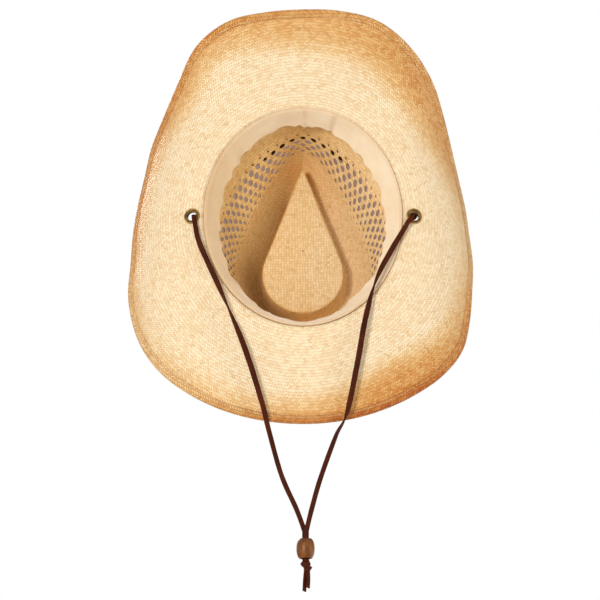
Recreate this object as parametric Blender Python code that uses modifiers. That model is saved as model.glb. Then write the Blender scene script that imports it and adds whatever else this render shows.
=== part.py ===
"""Woven straw cowboy hat with a pinched teardrop crown and a chin lace.

Frame: +Z up through the crown, the front of the hat at -Y; "left" and "right"
are -X and +X. The origin is the middle of the underside of the crown's flat
dent floor. The dimensions are laid out from the centre of the head opening, on
the plane of the brim break (the bend between brim and crown), and the whole
hat is moved to the frame's origin at the end.

Metres and radians unless a comment says otherwise. An "angle" runs round the
head opening from the front (0) through the right, rear and left.
"""

import math

import bmesh
import bpy
from mathutils import Matrix, Vector

# ---------------------------------------------------------------- shared dimensions
OPEN_HALF_WIDTH = 0.0855
OPEN_HALF_LENGTH = 0.0995
STRAW_T = 0.0012
COLUMNS = 64  # points round the hat, equally spaced on the head opening
GAP = 0.0003  # clearance between neighbouring pieces
THREAD_R = 0.0003
LACE_W = 0.0042
LACE_T = 0.0015
LACE_X = 0.0946  # where the laces pass through the eyelets
ACROSS = Vector((1.0, 0.0, 0.0))
PROBE_ANGLE = 0.01  # half steps over which surface directions are taken
PROBE_Z = 0.001

# Brim, at equal steps of angle from the front to the rear: reach from the break
# to the edge and rise of the edge in millimetres, slope at the edge in degrees.
BRIM_REACH_RIGHT = (
    90.4, 92.4, 94.1, 89.2, 80.5, 69.6, 61.8, 57.8, 57.5, 58.9,
    63.4, 68.3, 76.3, 85.6, 88.6, 88.5, 88.4, 88.3, 88.1,
)  # fmt: skip
BRIM_REACH_LEFT = (
    90.4, 91.1, 93.7, 89.1, 75.7, 67.9, 64.4, 60.5, 60.3, 62.2,
    65.6, 73.5, 80.1, 85.8, 88.6, 88.9, 88.8, 88.3, 88.1,
)  # fmt: skip
BRIM_RISE = (-5.5, -2.0, 17.0, 42.0, 53.0, 53.0, 40.0, 16.0, 0.0, -5.5)
BRIM_EDGE_SLOPE = (-2.0, 8.0, 45.0, 72.0, 80.0, 76.0, 62.0, 38.0, 8.0, -2.0)
BRIM_BREAK_SLOPE_FRONT = -3.0  # degrees, also the slope at the rear
BRIM_BREAK_SLOPE_SIDE = 9.0
BREAK_HANDLE = 0.5  # lengths of the profile's Bezier handles, as shares of its chord
EDGE_HANDLE = 0.32
EYELET_PAD_IN = 0.0040  # the straw is straight between these offsets
EYELET_PAD_OUT = 0.0178

# Folded edge
HEM_BEND_R = 0.00145
HEM_FLAP = 0.0055
HEM_FLAP_DROP = 0.0017

# Crown. Each loop is a teardrop: radius, rounding of its front tip in radians.
RIDGE_LOOP = (0.0565, 0.151)
CREST_LOOP = (0.0495, 0.113)
DENT_LOOP = (0.0355, 0.035)
TIP_ANGLE = math.radians(69.1)
DENT_CENTRE_Y = 0.0285
DENT_Z = 0.0755
CROWN_H = 0.100
WALL_TOP_Z = 0.092
WALL_FOOT_Z = 0.014

# ---------------------------------------------------------------- empty scene
for old in list(bpy.data.objects):
    bpy.data.objects.remove(old)

PARTS = bpy.data.collections.new("cowboy_hat")
CUTTERS = bpy.data.collections.new("cutters")
bpy.context.scene.collection.children.link(PARTS)
bpy.context.scene.collection.children.link(CUTTERS)
CUTTERS.hide_render = True


# ---------------------------------------------------------------- materials
def material(name, colour, roughness, metallic=0.0):
    mat = bpy.data.materials.new(name)
    mat.use_nodes = True
    shader = mat.node_tree.nodes["Principled BSDF"]
    shader.inputs["Base Color"].default_value = (*colour, 1.0)
    shader.inputs["Roughness"].default_value = roughness
    shader.inputs["Metallic"].default_value = metallic
    mat.diffuse_color = (*colour, 1.0)
    return mat


STRAW = material("straw", colour=(0.83, 0.66, 0.42), roughness=0.75)
CLOTH = material("sweatband_cloth", colour=(0.80, 0.68, 0.54), roughness=0.9)
THREAD = material("thread", colour=(0.72, 0.58, 0.40), roughness=0.8)
ELASTIC = material("elastic", colour=(0.85, 0.83, 0.78), roughness=0.9)
STEEL = material("steel_wire", colour=(0.55, 0.55, 0.56), roughness=0.35, metallic=1.0)
BRASS = material("antique_brass", colour=(0.42, 0.28, 0.12), roughness=0.4, metallic=1.0)
LEATHER = material("brown_leather", colour=(0.075, 0.026, 0.015), roughness=0.6)
BAND_LEATHER = material("dark_leather", colour=(0.03, 0.014, 0.010), roughness=0.55)
WOOD = material("bead_wood", colour=(0.26, 0.10, 0.035), roughness=0.4)


# ---------------------------------------------------------------- curves
def catmull_rom(before, start, end, after, t):
    """Point between start (t = 0) and end (t = 1) of a Catmull-Rom span."""
    return 0.5 * (
        2 * start
        + (end - before) * t
        + (2 * before - 5 * start + 4 * end - after) * t * t
        + (3 * start - before - 3 * end + after) * t * t * t
    )


def smooth_path(stations, per_span):
    """Catmull-Rom points through the stations, with per_span steps in each span."""
    points = [Vector(station) for station in stations]
    before_first = 2 * points[0] - points[1]
    after_last = 2 * points[-1] - points[-2]
    points = [before_first, *points, after_last]
    path = []
    for i in range(len(points) - 3):
        for k in range(per_span):
            path.append(catmull_rom(*points[i : i + 4], k / per_span))
    path.append(points[-2])
    return path


def around(values_right, values_left, angle):
    """Smooth value at an angle, from front-to-rear stations on both sides."""
    ring = list(values_right) + list(values_left[-2:0:-1])
    count = len(ring)
    position = (math.degrees(angle) % 360.0) * count / 360.0
    i = int(math.floor(position))
    return catmull_rom(*(ring[(i + k) % count] for k in (-1, 0, 1, 2)), position - i)


# ---------------------------------------------------------------- head opening
def oval(angle):
    return Vector((OPEN_HALF_WIDTH * math.sin(angle), -OPEN_HALF_LENGTH * math.cos(angle)))


def outward(angle):
    """Plan direction square to the head opening."""
    return Vector(
        (math.sin(angle) / OPEN_HALF_WIDTH, -math.cos(angle) / OPEN_HALF_LENGTH)
    ).normalized()


def place(angle, offset, z):
    """Point at a plan offset outward from the head opening."""
    plan = oval(angle) + outward(angle) * offset
    return Vector((plan.x, plan.y, z))


def column_angles(count):
    """Angles of points equally spaced along the head opening, the first at the front."""
    fine = 3600
    lengths = [0.0]
    for k in range(fine):
        here, after = (oval(2 * math.pi * j / fine) for j in (k, k + 1))
        lengths.append(lengths[-1] + (after - here).length)
    angles = []
    j = 0
    for k in range(count):
        wanted = lengths[-1] * k / count
        while lengths[j + 1] < wanted:
            j += 1
        share = (wanted - lengths[j]) / (lengths[j + 1] - lengths[j])
        angles.append(2 * math.pi * (j + share) / fine)
    return angles


ANGLES = column_angles(COLUMNS)


def row_of(point_at, *args):
    """A closed row of points, point_at(angle, *args) at each column."""
    return [point_at(angle, *args) for angle in ANGLES]


# ---------------------------------------------------------------- brim surface
def brim_profile(angle, s):
    """(offset, height) and unit tangent of the brim at s, 0 at the break, 1 at the edge."""
    reach = around(BRIM_REACH_RIGHT, BRIM_REACH_LEFT, angle) / 1000
    rise = around(BRIM_RISE, BRIM_RISE, angle) / 1000
    edge_slope = math.radians(around(BRIM_EDGE_SLOPE, BRIM_EDGE_SLOPE, angle))
    slope_change = BRIM_BREAK_SLOPE_SIDE - BRIM_BREAK_SLOPE_FRONT
    break_slope = math.radians(BRIM_BREAK_SLOPE_FRONT + slope_change * math.sin(angle) ** 2)
    chord = math.hypot(reach, rise)
    # the four control points of a cubic Bezier curve
    p0 = Vector((0.0, 0.0))
    p3 = Vector((reach, rise))
    p1 = Vector((math.cos(break_slope), math.sin(break_slope))) * chord * BREAK_HANDLE
    p2 = p3 - Vector((math.cos(edge_slope), math.sin(edge_slope))) * chord * EDGE_HANDLE
    r = 1.0 - s
    point = r**3 * p0 + 3 * r * r * s * p1 + 3 * r * s * s * p2 + s**3 * p3
    tangent = r * r * (p1 - p0) + 2 * r * s * (p2 - p1) + s * s * (p3 - p2)
    return point, tangent.normalized()


def brim_at_offset(angle, offset):
    """The brim profile's point and tangent at a plan offset, by bisection."""
    low, high = 0.0, 1.0
    for _ in range(40):
        middle = (low + high) / 2
        if brim_profile(angle, middle)[0].x < offset:
            low = middle
        else:
            high = middle
    return brim_profile(angle, low)


def brim_point(angle, s):
    return place(angle, *brim_profile(angle, s)[0])


def brim_offset_point(angle, offset):
    return place(angle, *brim_at_offset(angle, offset)[0])


def from_profile(angle, tangent):
    """A profile direction (outward, up) as a direction in space."""
    out = outward(angle)
    return Vector((out.x * tangent.x, out.y * tangent.x, tangent.y))


def hem_point(angle, along, up):
    """Point beyond the brim's edge by `along`, square to the edge, and `up` off the brim."""
    tangent = from_profile(angle, brim_profile(angle, 1.0)[1])
    edge_run = brim_point(angle + PROBE_ANGLE, 1.0) - brim_point(angle - PROBE_ANGLE, 1.0)
    normal = tangent.cross(edge_run).normalized()
    beyond = edge_run.cross(normal).normalized()
    return brim_point(angle, 1.0) + beyond * along + normal * up


# ---------------------------------------------------------------- crown surface
def loop_point(angle, loop):
    """Plan point of a teardrop loop about the dent's centre, its tip to the front."""
    radius, tip_round = loop
    start = oval(angle)
    bearing = math.atan2(start.x, DENT_CENTRE_Y - start.y)
    rounded = math.sqrt(bearing * bearing + tip_round * tip_round)
    reach = radius / math.cos(max(0.0, TIP_ANGLE - rounded))
    return Vector((reach * math.sin(bearing), DENT_CENTRE_Y - reach * math.cos(bearing)))


def between_loops(angle, outer, inner, share, z):
    plan = loop_point(angle, outer).lerp(loop_point(angle, inner), share)
    return Vector((plan.x, plan.y, z))


def crown_wall(angle, z):
    """Point of the crown wall's middle surface at height z."""
    rise = min(1.0, max(0.0, (z - WALL_FOOT_Z) / (WALL_TOP_Z - WALL_FOOT_Z)))
    share = rise * rise * (3 - 2 * rise)
    plan = oval(angle).lerp(loop_point(angle, RIDGE_LOOP), share)
    return Vector((plan.x, plan.y, z))


def on_wall(angle, z, lift):
    """A point lifted outward off the crown wall's middle surface."""
    upward = crown_wall(angle, z + PROBE_Z) - crown_wall(angle, z - PROBE_Z)
    sideways = crown_wall(angle + PROBE_ANGLE, z) - crown_wall(angle - PROBE_ANGLE, z)
    return crown_wall(angle, z) + sideways.cross(upward).normalized() * lift


# ---------------------------------------------------------------- mesh helpers
def add_object(name, data, mat):
    obj = bpy.data.objects.new(name, data)
    obj.data.materials.append(mat)
    PARTS.objects.link(obj)
    return obj


def mesh_object(name, bm, mat):
    mesh = bpy.data.meshes.new(name)
    bm.to_mesh(mesh)
    bm.free()
    return add_object(name, mesh, mat)


def sheet(name, rows, closed, mat, thickness, centre=None, skip=None):
    """Rows of points as one open surface, thickened by Solidify.

    A centre closes the last row with a fan; skip(row, column) leaves a face out.
    """
    bm = bmesh.new()
    grid = [[bm.verts.new(point) for point in row] for row in rows]
    count = len(rows[0])
    for r in range(len(rows) - 1):
        for c in range(count if closed else count - 1):
            if skip and skip(r, c):
                continue
            after = (c + 1) % count
            bm.faces.new((grid[r][c], grid[r][after], grid[r + 1][after], grid[r + 1][c]))
    if centre is not None:
        hub = bm.verts.new(centre)
        for c in range(count):
            bm.faces.new((grid[-1][c], grid[-1][(c + 1) % count], hub))
    obj = mesh_object(name, bm, mat)
    solid = obj.modifiers.new("thickness", "SOLIDIFY")
    solid.thickness = thickness
    solid.offset = 0.0
    solid.use_even_offset = True
    return obj


def ring_wire(name, points, radius, mat):
    """A closed wire or thread through the points."""
    curve = bpy.data.curves.new(name, "CURVE")
    curve.dimensions = "3D"
    curve.bevel_depth = radius
    curve.bevel_resolution = 0
    spline = curve.splines.new("POLY")
    spline.points.add(len(points) - 1)
    for slot, point in zip(spline.points, points):
        slot.co = (*point, 1.0)
    spline.use_cyclic_u = True
    return add_object(name, curve, mat)


def turned(name, profile, mat, steps, closed=True):
    """A (radius, height) profile turned about local Z, running down its outer side."""
    mesh = bpy.data.meshes.new(name)
    edges = [(k, k + 1) for k in range(len(profile) - 1)]
    if closed:
        edges.append((len(profile) - 1, 0))
    mesh.from_pydata([(radius, 0.0, z) for radius, z in profile], edges, [])
    obj = add_object(name, mesh, mat)
    screw = obj.modifiers.new("turn", "SCREW")
    screw.axis = "Z"
    screw.steps = steps
    screw.render_steps = steps
    screw.use_merge_vertices = True
    screw.merge_threshold = 0.00001
    return obj


def lace(name, points, widths):
    """A flat leather lace; widths are the directions across its flat side."""
    rows = []
    for point, width in zip(points, widths):
        half = width.normalized() * LACE_W / 2
        rows.append([point - half, point + half])
    return sheet(name, rows, False, LEATHER, LACE_T)


def aim_z(direction):
    """Rotation that turns local Z to a direction."""
    return direction.to_track_quat("Z", "Y").to_matrix().to_4x4()


# ---------------------------------------------------------------- straw body
HEM_BULGE = 1.05  # reach of the fold beyond the edge, in bend radii
BRIM_SHARES = (1.0, 0.86, 0.68, 0.46)  # brim rows from the edge inward
BREAK_ROWS = ((0.0012, 0.0012), (0.0, 0.0042))  # offset, height
LOWER_WALL_ROWS = (WALL_FOOT_Z, 0.028, 0.038)
UPPER_WALL_ROWS = (0.079, WALL_TOP_Z)
VENT_H = 0.0046
VENT_FIRST_Z = 0.0465
VENT_PITCH = 0.0065
VENT_COUNT = 4
# outer loop, inner loop, share of the way between them, height
TOP_ROWS = (
    (RIDGE_LOOP, CREST_LOOP, 0.35, CROWN_H - 0.0020),
    (RIDGE_LOOP, CREST_LOOP, 1.0, CROWN_H),
    (CREST_LOOP, DENT_LOOP, 0.62, CROWN_H - 0.0035),
    (CREST_LOOP, DENT_LOOP, 1.0, DENT_Z),
)
FLOOR_RING_SHARE = 0.45  # ring on the dent's floor, from its centre to its rim


def build_straw():
    """The woven body in one sheet, from the hem under the brim to the dent's floor."""
    rows = [
        row_of(hem_point, -HEM_FLAP, -HEM_FLAP_DROP),
        row_of(hem_point, 0.0, -2 * HEM_BEND_R),
        row_of(hem_point, HEM_BEND_R * HEM_BULGE, -HEM_BEND_R),
    ]
    rows += [row_of(brim_point, s) for s in BRIM_SHARES]
    rows += [row_of(brim_offset_point, offset) for offset in (EYELET_PAD_OUT, EYELET_PAD_IN)]
    rows += [row_of(place, offset, z) for offset, z in BREAK_ROWS]
    rows += [row_of(crown_wall, z) for z in LOWER_WALL_ROWS]
    vent_first = len(rows)
    for k in range(VENT_COUNT):
        middle = VENT_FIRST_Z + VENT_PITCH * k
        rows += [row_of(crown_wall, middle + side * VENT_H / 2) for side in (-1, 1)]
    rows += [row_of(crown_wall, z) for z in UPPER_WALL_ROWS]
    rows += [row_of(between_loops, *top_row) for top_row in TOP_ROWS]
    hub = Vector((0.0, DENT_CENTRE_Y, DENT_Z))
    rows.append([hub.lerp(point, FLOOR_RING_SHARE) for point in rows[-1]])

    def is_vent(r, c):
        """Every other cell of a vent row, staggered from row to row."""
        vent_row, between = divmod(r - vent_first, 2)
        return 0 <= vent_row < VENT_COUNT and between == 0 and (c + vent_row) % 2 == 0

    return sheet("straw_body", rows, True, STRAW, STRAW_T, centre=hub, skip=is_vent)


# ---------------------------------------------------------------- eyelets
EYELET_X = 0.0963
EYELET_STEPS = 20
STRAW_HOLE_R = 0.0054
CUTTER_DEPTH = 0.012
BORE_R = 0.0044
BARREL_R = 0.0050
LIP_R = 0.0058
FLANGE_R = 0.0066
WASHER_R = 0.0068
EYELET_UNDER = -STRAW_T / 2 - 0.0004  # faces just clear of the straw
EYELET_OVER = STRAW_T / 2 + 0.0003
# radius, height: the rolled lip, down the barrel, then the flange under the brim
EYELET_PROFILE = (
    (BORE_R, EYELET_OVER + 0.0013),
    (BARREL_R - 0.0001, EYELET_OVER + 0.0017),
    (LIP_R, EYELET_OVER + 0.0015),
    (0.0061, EYELET_OVER + 0.0010),
    (BARREL_R, EYELET_OVER + 0.0009),
    (BARREL_R, EYELET_UNDER),
    (FLANGE_R, EYELET_UNDER),
    (FLANGE_R, EYELET_UNDER - 0.0005),
    (LIP_R, EYELET_UNDER - 0.0011),
    (BARREL_R, EYELET_UNDER - 0.0010),
    (BORE_R, EYELET_UNDER - 0.0005),
)
WASHER_PROFILE = (
    (BARREL_R + GAP, EYELET_OVER + 0.0005),
    (WASHER_R, EYELET_OVER + 0.0003),
    (WASHER_R, EYELET_OVER),
    (BARREL_R + GAP, EYELET_OVER),
)


def eyelet_seat(side):
    """Placement on the straight part of the brim, local Z square to the straw."""
    angle = side * math.pi / 2
    pad_in = brim_at_offset(angle, EYELET_PAD_IN)[0]
    pad_out = brim_at_offset(angle, EYELET_PAD_OUT)[0]
    from_pad_in = EYELET_X - OPEN_HALF_WIDTH - EYELET_PAD_IN
    middle = pad_in.lerp(pad_out, from_pad_in / (EYELET_PAD_OUT - EYELET_PAD_IN))
    slope = math.atan2(pad_out.y - pad_in.y, pad_out.x - pad_in.x)
    centre = place(angle, middle.x, middle.y)
    return Matrix.Translation(centre) @ Matrix.Rotation(-side * slope, 4, "Y")


def cut_eyelet_hole(straw, label, seat):
    bpy.ops.mesh.primitive_cylinder_add(
        vertices=EYELET_STEPS, radius=STRAW_HOLE_R, depth=CUTTER_DEPTH
    )
    cutter = bpy.context.object
    cutter.name = label + "_eyelet_cutter"
    cutter.matrix_world = seat
    for collection in list(cutter.users_collection):
        collection.objects.unlink(cutter)
    CUTTERS.objects.link(cutter)
    cutter.hide_render = True
    cutter.display_type = "WIRE"
    cut = straw.modifiers.new(label + "_eyelet_hole", "BOOLEAN")
    cut.operation = "DIFFERENCE"
    cut.object = cutter


def build_eyelets(straw):
    for side, label in ((-1, "left"), (1, "right")):
        seat = eyelet_seat(side)
        cut_eyelet_hole(straw, label, seat)
        for suffix, profile in (
            ("_eyelet", EYELET_PROFILE),
            ("_eyelet_washer", WASHER_PROFILE),
        ):
            turned(label + suffix, profile, BRASS, EYELET_STEPS).matrix_world = seat


# ---------------------------------------------------------------- brim edge
WIRE_R = 0.0005
WIRE_INSET = 0.0002
HEM_STITCH_SHARE = 0.55  # from the fold to the flap's free edge
HEM_STITCH_GAP = 0.00035


def build_brim_edge():
    """The shaping wire inside the fold and the stitching under the flap."""
    wire = row_of(hem_point, -WIRE_INSET, -HEM_BEND_R)
    ring_wire("brim_wire", wire, WIRE_R, STEEL)
    fold_drop = 2 * HEM_BEND_R
    flap_drop = fold_drop + (HEM_FLAP_DROP - fold_drop) * HEM_STITCH_SHARE
    stitch_drop = flap_drop + STRAW_T / 2 + HEM_STITCH_GAP + THREAD_R
    stitching = row_of(hem_point, -HEM_STITCH_SHARE * HEM_FLAP, -stitch_drop)
    ring_wire("hem_stitching", stitching, THREAD_R, THREAD)


# ---------------------------------------------------------------- sweatband
BAND_T = 0.0010
BAND_H = 0.020
BAND_LEAN = 0.0094  # inward lean over the band's height
BAND_OUT = -(STRAW_T / 2 + 0.0005)
FOOT_T = 0.0024
FOOT_IN = BAND_OUT - FOOT_T
FOOT_BOTTOM_Z = -0.0010
FOOT_TOP_Z = 0.0022
BAND_MIDDLE_Z = 0.012
ELASTIC_T = 0.0006
ELASTIC_ROWS = (0.0135, 0.0180)
ELASTIC_LIFT = GAP + 0.0004  # from the band's outer face to the elastic's middle
BAND_STITCH_Z = 0.0006
BAND_STITCH_LIFT = GAP + THREAD_R + 0.0001


def band_face(z, side=0):
    """Offset of the sweatband's middle (0), outer (1) or inner (-1) surface."""
    return BAND_OUT - FOOT_T / 2 - BAND_LEAN * z / BAND_H + side * BAND_T / 2


def build_sweatband():
    # offset, height: up the outer side and down the inner side
    section = (
        (BAND_OUT, FOOT_BOTTOM_Z),
        (BAND_OUT, FOOT_TOP_Z),
        (band_face(0.0035, 1), 0.0042),
        (band_face(BAND_MIDDLE_Z, 1), BAND_MIDDLE_Z),
        (band_face(BAND_H, 1), BAND_H),
        (band_face(BAND_H, -1), BAND_H),
        (band_face(BAND_MIDDLE_Z, -1), BAND_MIDDLE_Z),
        (FOOT_IN, FOOT_TOP_Z),
        (FOOT_IN, FOOT_BOTTOM_Z),
    )
    bm = bmesh.new()
    ring = [[bm.verts.new(place(angle, *corner)) for corner in section] for angle in ANGLES]
    for k in range(COLUMNS):
        here, after = ring[k], ring[(k + 1) % COLUMNS]
        for j in range(len(section)):
            i = (j + 1) % len(section)
            bm.faces.new((here[j], here[i], after[i], after[j]))
    bmesh.ops.recalc_face_normals(bm, faces=bm.faces)
    mesh_object("sweatband", bm, CLOTH)

    elastic = [row_of(place, band_face(z, 1) + ELASTIC_LIFT, z) for z in ELASTIC_ROWS]
    sheet("sweatband_elastic", elastic, True, ELASTIC, ELASTIC_T)
    stitching = row_of(place, FOOT_IN - BAND_STITCH_LIFT, BAND_STITCH_Z)
    ring_wire("sweatband_stitching", stitching, THREAD_R, THREAD)


# ---------------------------------------------------------------- hat band
HAT_BAND_T = 0.0014
HAT_BAND_LIFT = STRAW_T / 2 + 0.0006 + HAT_BAND_T / 2
HAT_BAND_ROWS = (0.0085, 0.014, 0.028)  # heights below the shaped top edge
HAT_BAND_TOP_Z = 0.0370
HAT_BAND_PEAK = 0.0130  # extra height at the front
PEAK_NARROWING = 1.45

TAB_T = 0.0012
TAB_LIFT = HAT_BAND_LIFT + HAT_BAND_T / 2 + 0.0005 + TAB_T / 2
TAB_ROWS = (0.0105, 0.014, 0.028, 0.0335)
TAB_COLUMNS = slice(44, 49)  # on the left, from behind the middle to the middle

RIVET_Z = 0.021
RIVET_LIFT = TAB_LIFT + TAB_T / 2 + 0.0005
RIVET_STEPS = 12
# the rivet called "front" is the one nearer the rear
RIVET_COLUMNS = {"front": 45, "rear": 47}
# radius, height: a low domed head
RIVET_PROFILE = (
    (0.0, 0.0015), (0.0016, 0.0013), (0.0027, 0.0008), (0.0030, 0.0), (0.0, 0.0),
)  # fmt: skip


def hat_band_top(angle):
    from_front = abs((angle + math.pi) % (2 * math.pi) - math.pi)
    peak = math.cos(min(math.pi / 2, from_front * PEAK_NARROWING)) ** 2
    return HAT_BAND_TOP_Z + HAT_BAND_PEAK * peak


def build_hat_band():
    rows = [row_of(on_wall, z, HAT_BAND_LIFT) for z in HAT_BAND_ROWS]
    last_z = HAT_BAND_ROWS[-1]
    rows.append([on_wall(a, (last_z + hat_band_top(a)) / 2, HAT_BAND_LIFT) for a in ANGLES])
    rows.append([on_wall(a, hat_band_top(a), HAT_BAND_LIFT) for a in ANGLES])
    sheet("hat_band", rows, True, BAND_LEATHER, HAT_BAND_T)


def build_hat_band_tab():
    """The tab over the band's left side and its two rivets."""
    rows = [[on_wall(angle, z, TAB_LIFT) for angle in ANGLES[TAB_COLUMNS]] for z in TAB_ROWS]
    sheet("hat_band_tab", rows, False, BAND_LEATHER, TAB_T)
    for label, column in RIVET_COLUMNS.items():
        angle = ANGLES[column]
        head = turned(
            "hat_band_rivet_" + label, RIVET_PROFILE, BRASS, RIVET_STEPS, closed=False
        )
        base = on_wall(angle, RIVET_Z, RIVET_LIFT)
        normal = (on_wall(angle, RIVET_Z, 0.01) - on_wall(angle, RIVET_Z, 0.0)).normalized()
        head.matrix_world = Matrix.Translation(base) @ aim_z(normal)


# ---------------------------------------------------------------- crown lace
CROWN_LACE_OFFSET = 0.0064
CROWN_LACE_LIFT = STRAW_T / 2 + 0.0006 + LACE_T / 2
CROWN_LACE_FROM = 104  # degrees, on the right
CROWN_LACE_TO = 256  # degrees, on the left
CROWN_LACE_STEPS = 30
# Each end rises from its eyelet and bends rearward: distance inward from LACE_X, y, z.
CROWN_LACE_END = (
    (0.0, 0.0, -0.0025),
    (0.0, 0.0, 0.0030),
    (0.0, 0.0007, 0.0050),
    (0.0002, 0.0026, 0.0061),
    (0.0008, 0.0062, 0.0063),
    (0.0019, 0.0110, 0.0052),
)


def build_crown_lace():
    """The lace lying on the brim round the rear of the crown, eyelet to eyelet."""
    right_end, left_end = (
        [Vector((side * (LACE_X - inset), y, z)) for inset, y, z in CROWN_LACE_END]
        for side in (1, -1)
    )
    points = right_end
    widths = [ACROSS] * len(right_end)
    for k in range(CROWN_LACE_STEPS + 1):
        sweep = (CROWN_LACE_TO - CROWN_LACE_FROM) * k / CROWN_LACE_STEPS
        angle = math.radians(CROWN_LACE_FROM + sweep)
        point, tangent = brim_at_offset(angle, CROWN_LACE_OFFSET)
        normal = from_profile(angle, Vector((-tangent.y, tangent.x)))
        points.append(place(angle, point.x, point.y) + normal * CROWN_LACE_LIFT)
        widths.append(from_profile(angle, tangent))
    points += left_end[::-1]
    widths += [ACROSS] * len(left_end)
    # the flat side keeps its sense along the whole run
    for k in range(1, len(widths)):
        if widths[k].dot(widths[k - 1]) < 0:
            widths[k] = -widths[k]
    lace("crown_lace", points, widths)


# ---------------------------------------------------------------- chin lace
PIVOT_Z = -0.0036  # hinge axis through both eyelets
BEAD_L = 0.0170
BEAD_CENTRE = Vector((0.0020, 0.2969, -0.0058))
BEAD_AXIS = Vector((0.0, 1.0, 0.06)).normalized()
BEAD_UP = ACROSS.cross(BEAD_AXIS)
BEAD_STEPS = 18
BEAD_BELLY_R = 0.0076
# radius, height: from the bore out to just above the belly
BEAD_HALF = (
    (0.0036, BEAD_L / 2),
    (0.0049, BEAD_L / 2),
    (0.0061, BEAD_L / 2 - 0.0011),
    (0.0072, BEAD_L / 4),
)
BORE_IN = BEAD_CENTRE - BEAD_AXIS * (BEAD_L / 2 + 0.0065)  # before the bead
BORE_OUT = BEAD_CENTRE + BEAD_AXIS * (BEAD_L / 2 + 0.0006)  # just past it

# In the bore the left strip lies over the right; each is shifted by these.
STRAND_OVER = LACE_T / 2 + GAP / 2 + 0.0001
STRAND_ASIDE = 0.00075
STRAND_STEPS = 3  # per span
# x, y, z from the eyelet rearward to the bead
STRAND_STATIONS = {
    "left": (
        (-LACE_X, 0.0000, PIVOT_Z),
        (-0.0930, 0.0120, -0.0042),
        (-0.0887, 0.0290, -0.0052),
        (-0.0721, 0.0675, -0.0074),
        (-0.0509, 0.1197, -0.0102),
        (-0.0349, 0.1716, -0.0123),
        (-0.0289, 0.1965, -0.0127),
        (-0.0182, 0.2353, -0.0122),
        (-0.0055, 0.2640, -0.0090),
    ),
    "right": (
        (LACE_X, 0.0000, PIVOT_Z),
        (0.0873, 0.0140, -0.0042),
        (0.0768, 0.0325, -0.0054),
        (0.0632, 0.0603, -0.0070),
        (0.0534, 0.0961, -0.0089),
        (0.0467, 0.1341, -0.0107),
        (0.0370, 0.1814, -0.0125),
        (0.0276, 0.2015, -0.0127),
        (0.0146, 0.2379, -0.0121),
        (0.0072, 0.2640, -0.0104),
    ),
}
# where each strip turns over: distance behind the eyelets, turn in degrees
STRAND_TURNS = {
    "left": ((0.050, 0), (0.072, 60), (0.096, 120), (0.122, 180)),
    "right": (
        (0.040, 0), (0.056, 50), (0.080, 130), (0.096, 180),
        (0.172, 180), (0.187, 270), (0.205, 315), (0.227, 360),
    ),
}  # fmt: skip

KNOT_SIZE = (0.0108, 0.0112, 0.0088)
KNOT_CENTRE = BORE_OUT + BEAD_AXIS * 0.0049 + ACROSS * 0.0012
TAIL_ROOT = KNOT_CENTRE + BEAD_AXIS * 0.0054
TAIL_ASIDE = 0.0014
TAIL_SPREAD = 1.1  # growth of the sideways shift at the tip
TAIL_LENGTHS = {"left": 0.0165, "right": 0.0140}


def turn_at(stations, y):
    """Turn of a strip at y, straight between the stations."""
    if y <= stations[0][0]:
        return 0.0
    for (y0, turn0), (y1, turn1) in zip(stations, stations[1:]):
        if y < y1:
            return math.radians(turn0 + (turn1 - turn0) * (y - y0) / (y1 - y0))
    return math.radians(stations[-1][1])


def hang(obj, pivot):
    """Parents a piece to the pivot, its mesh staying in place and its origin on the axis."""
    obj.data.transform(Matrix.Translation((0.0, 0.0, -PIVOT_Z)))
    obj.parent = pivot


def build_strand(side, label, pivot):
    shift = ACROSS * side * STRAND_ASIDE - BEAD_UP * side * STRAND_OVER
    points = smooth_path([*STRAND_STATIONS[label], BORE_IN + shift], STRAND_STEPS)
    widths = [ACROSS]
    for k in range(1, len(points)):
        after = points[min(len(points) - 1, k + 1)]
        run = (after - points[k - 1]).normalized()
        flat = Vector((run.y, -run.x, 0.0)).normalized()
        turn = turn_at(STRAND_TURNS[label], points[k].y)
        widths.append(Matrix.Rotation(turn, 3, run) @ flat)
    # the strip lies level in the bore, without another turn
    level = ACROSS if widths[-1].dot(ACROSS) > 0 else -ACROSS
    widths[-1:] = [level] * 3
    points += [BEAD_CENTRE + shift, BORE_OUT + shift]
    hang(lace(label + "_chin_lace", points, widths), pivot)


def build_knot(pivot):
    """A soft lump from a coarse cage."""
    bm = bmesh.new()
    bmesh.ops.create_cube(bm, size=1.0)
    bmesh.ops.scale(bm, vec=KNOT_SIZE, verts=bm.verts)
    bmesh.ops.translate(bm, vec=KNOT_CENTRE, verts=bm.verts)
    knot = mesh_object("lace_knot", bm, LEATHER)
    soft = knot.modifiers.new("soft", "SUBSURF")
    soft.levels = 2
    soft.render_levels = 2
    hang(knot, pivot)


def build_tail(side, label, pivot):
    """A short lace end behind the knot, drooping to its tip."""
    length = TAIL_LENGTHS[label]
    shift = ACROSS * side * TAIL_ASIDE
    points = [
        TAIL_ROOT + shift,
        TAIL_ROOT + shift + Vector((-0.0003, length * 0.5, -0.0012)),
        TAIL_ROOT + shift * TAIL_SPREAD + Vector((-0.0006, length, -0.0032)),
    ]
    slant = (ACROSS + BEAD_UP).normalized()
    hang(lace(label + "_lace_tail", points, [slant] * 3), pivot)


def build_bead(pivot):
    mirrored = [(radius, -z) for radius, z in reversed(BEAD_HALF)]
    profile = [*BEAD_HALF, (BEAD_BELLY_R, 0.0), *mirrored]
    bead = turned("chin_bead", profile, WOOD, BEAD_STEPS)
    bead.parent = pivot
    centre = BEAD_CENTRE - Vector((0.0, 0.0, PIVOT_Z))
    bead.matrix_local = Matrix.Translation(centre) @ aim_z(BEAD_AXIS)


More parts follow.
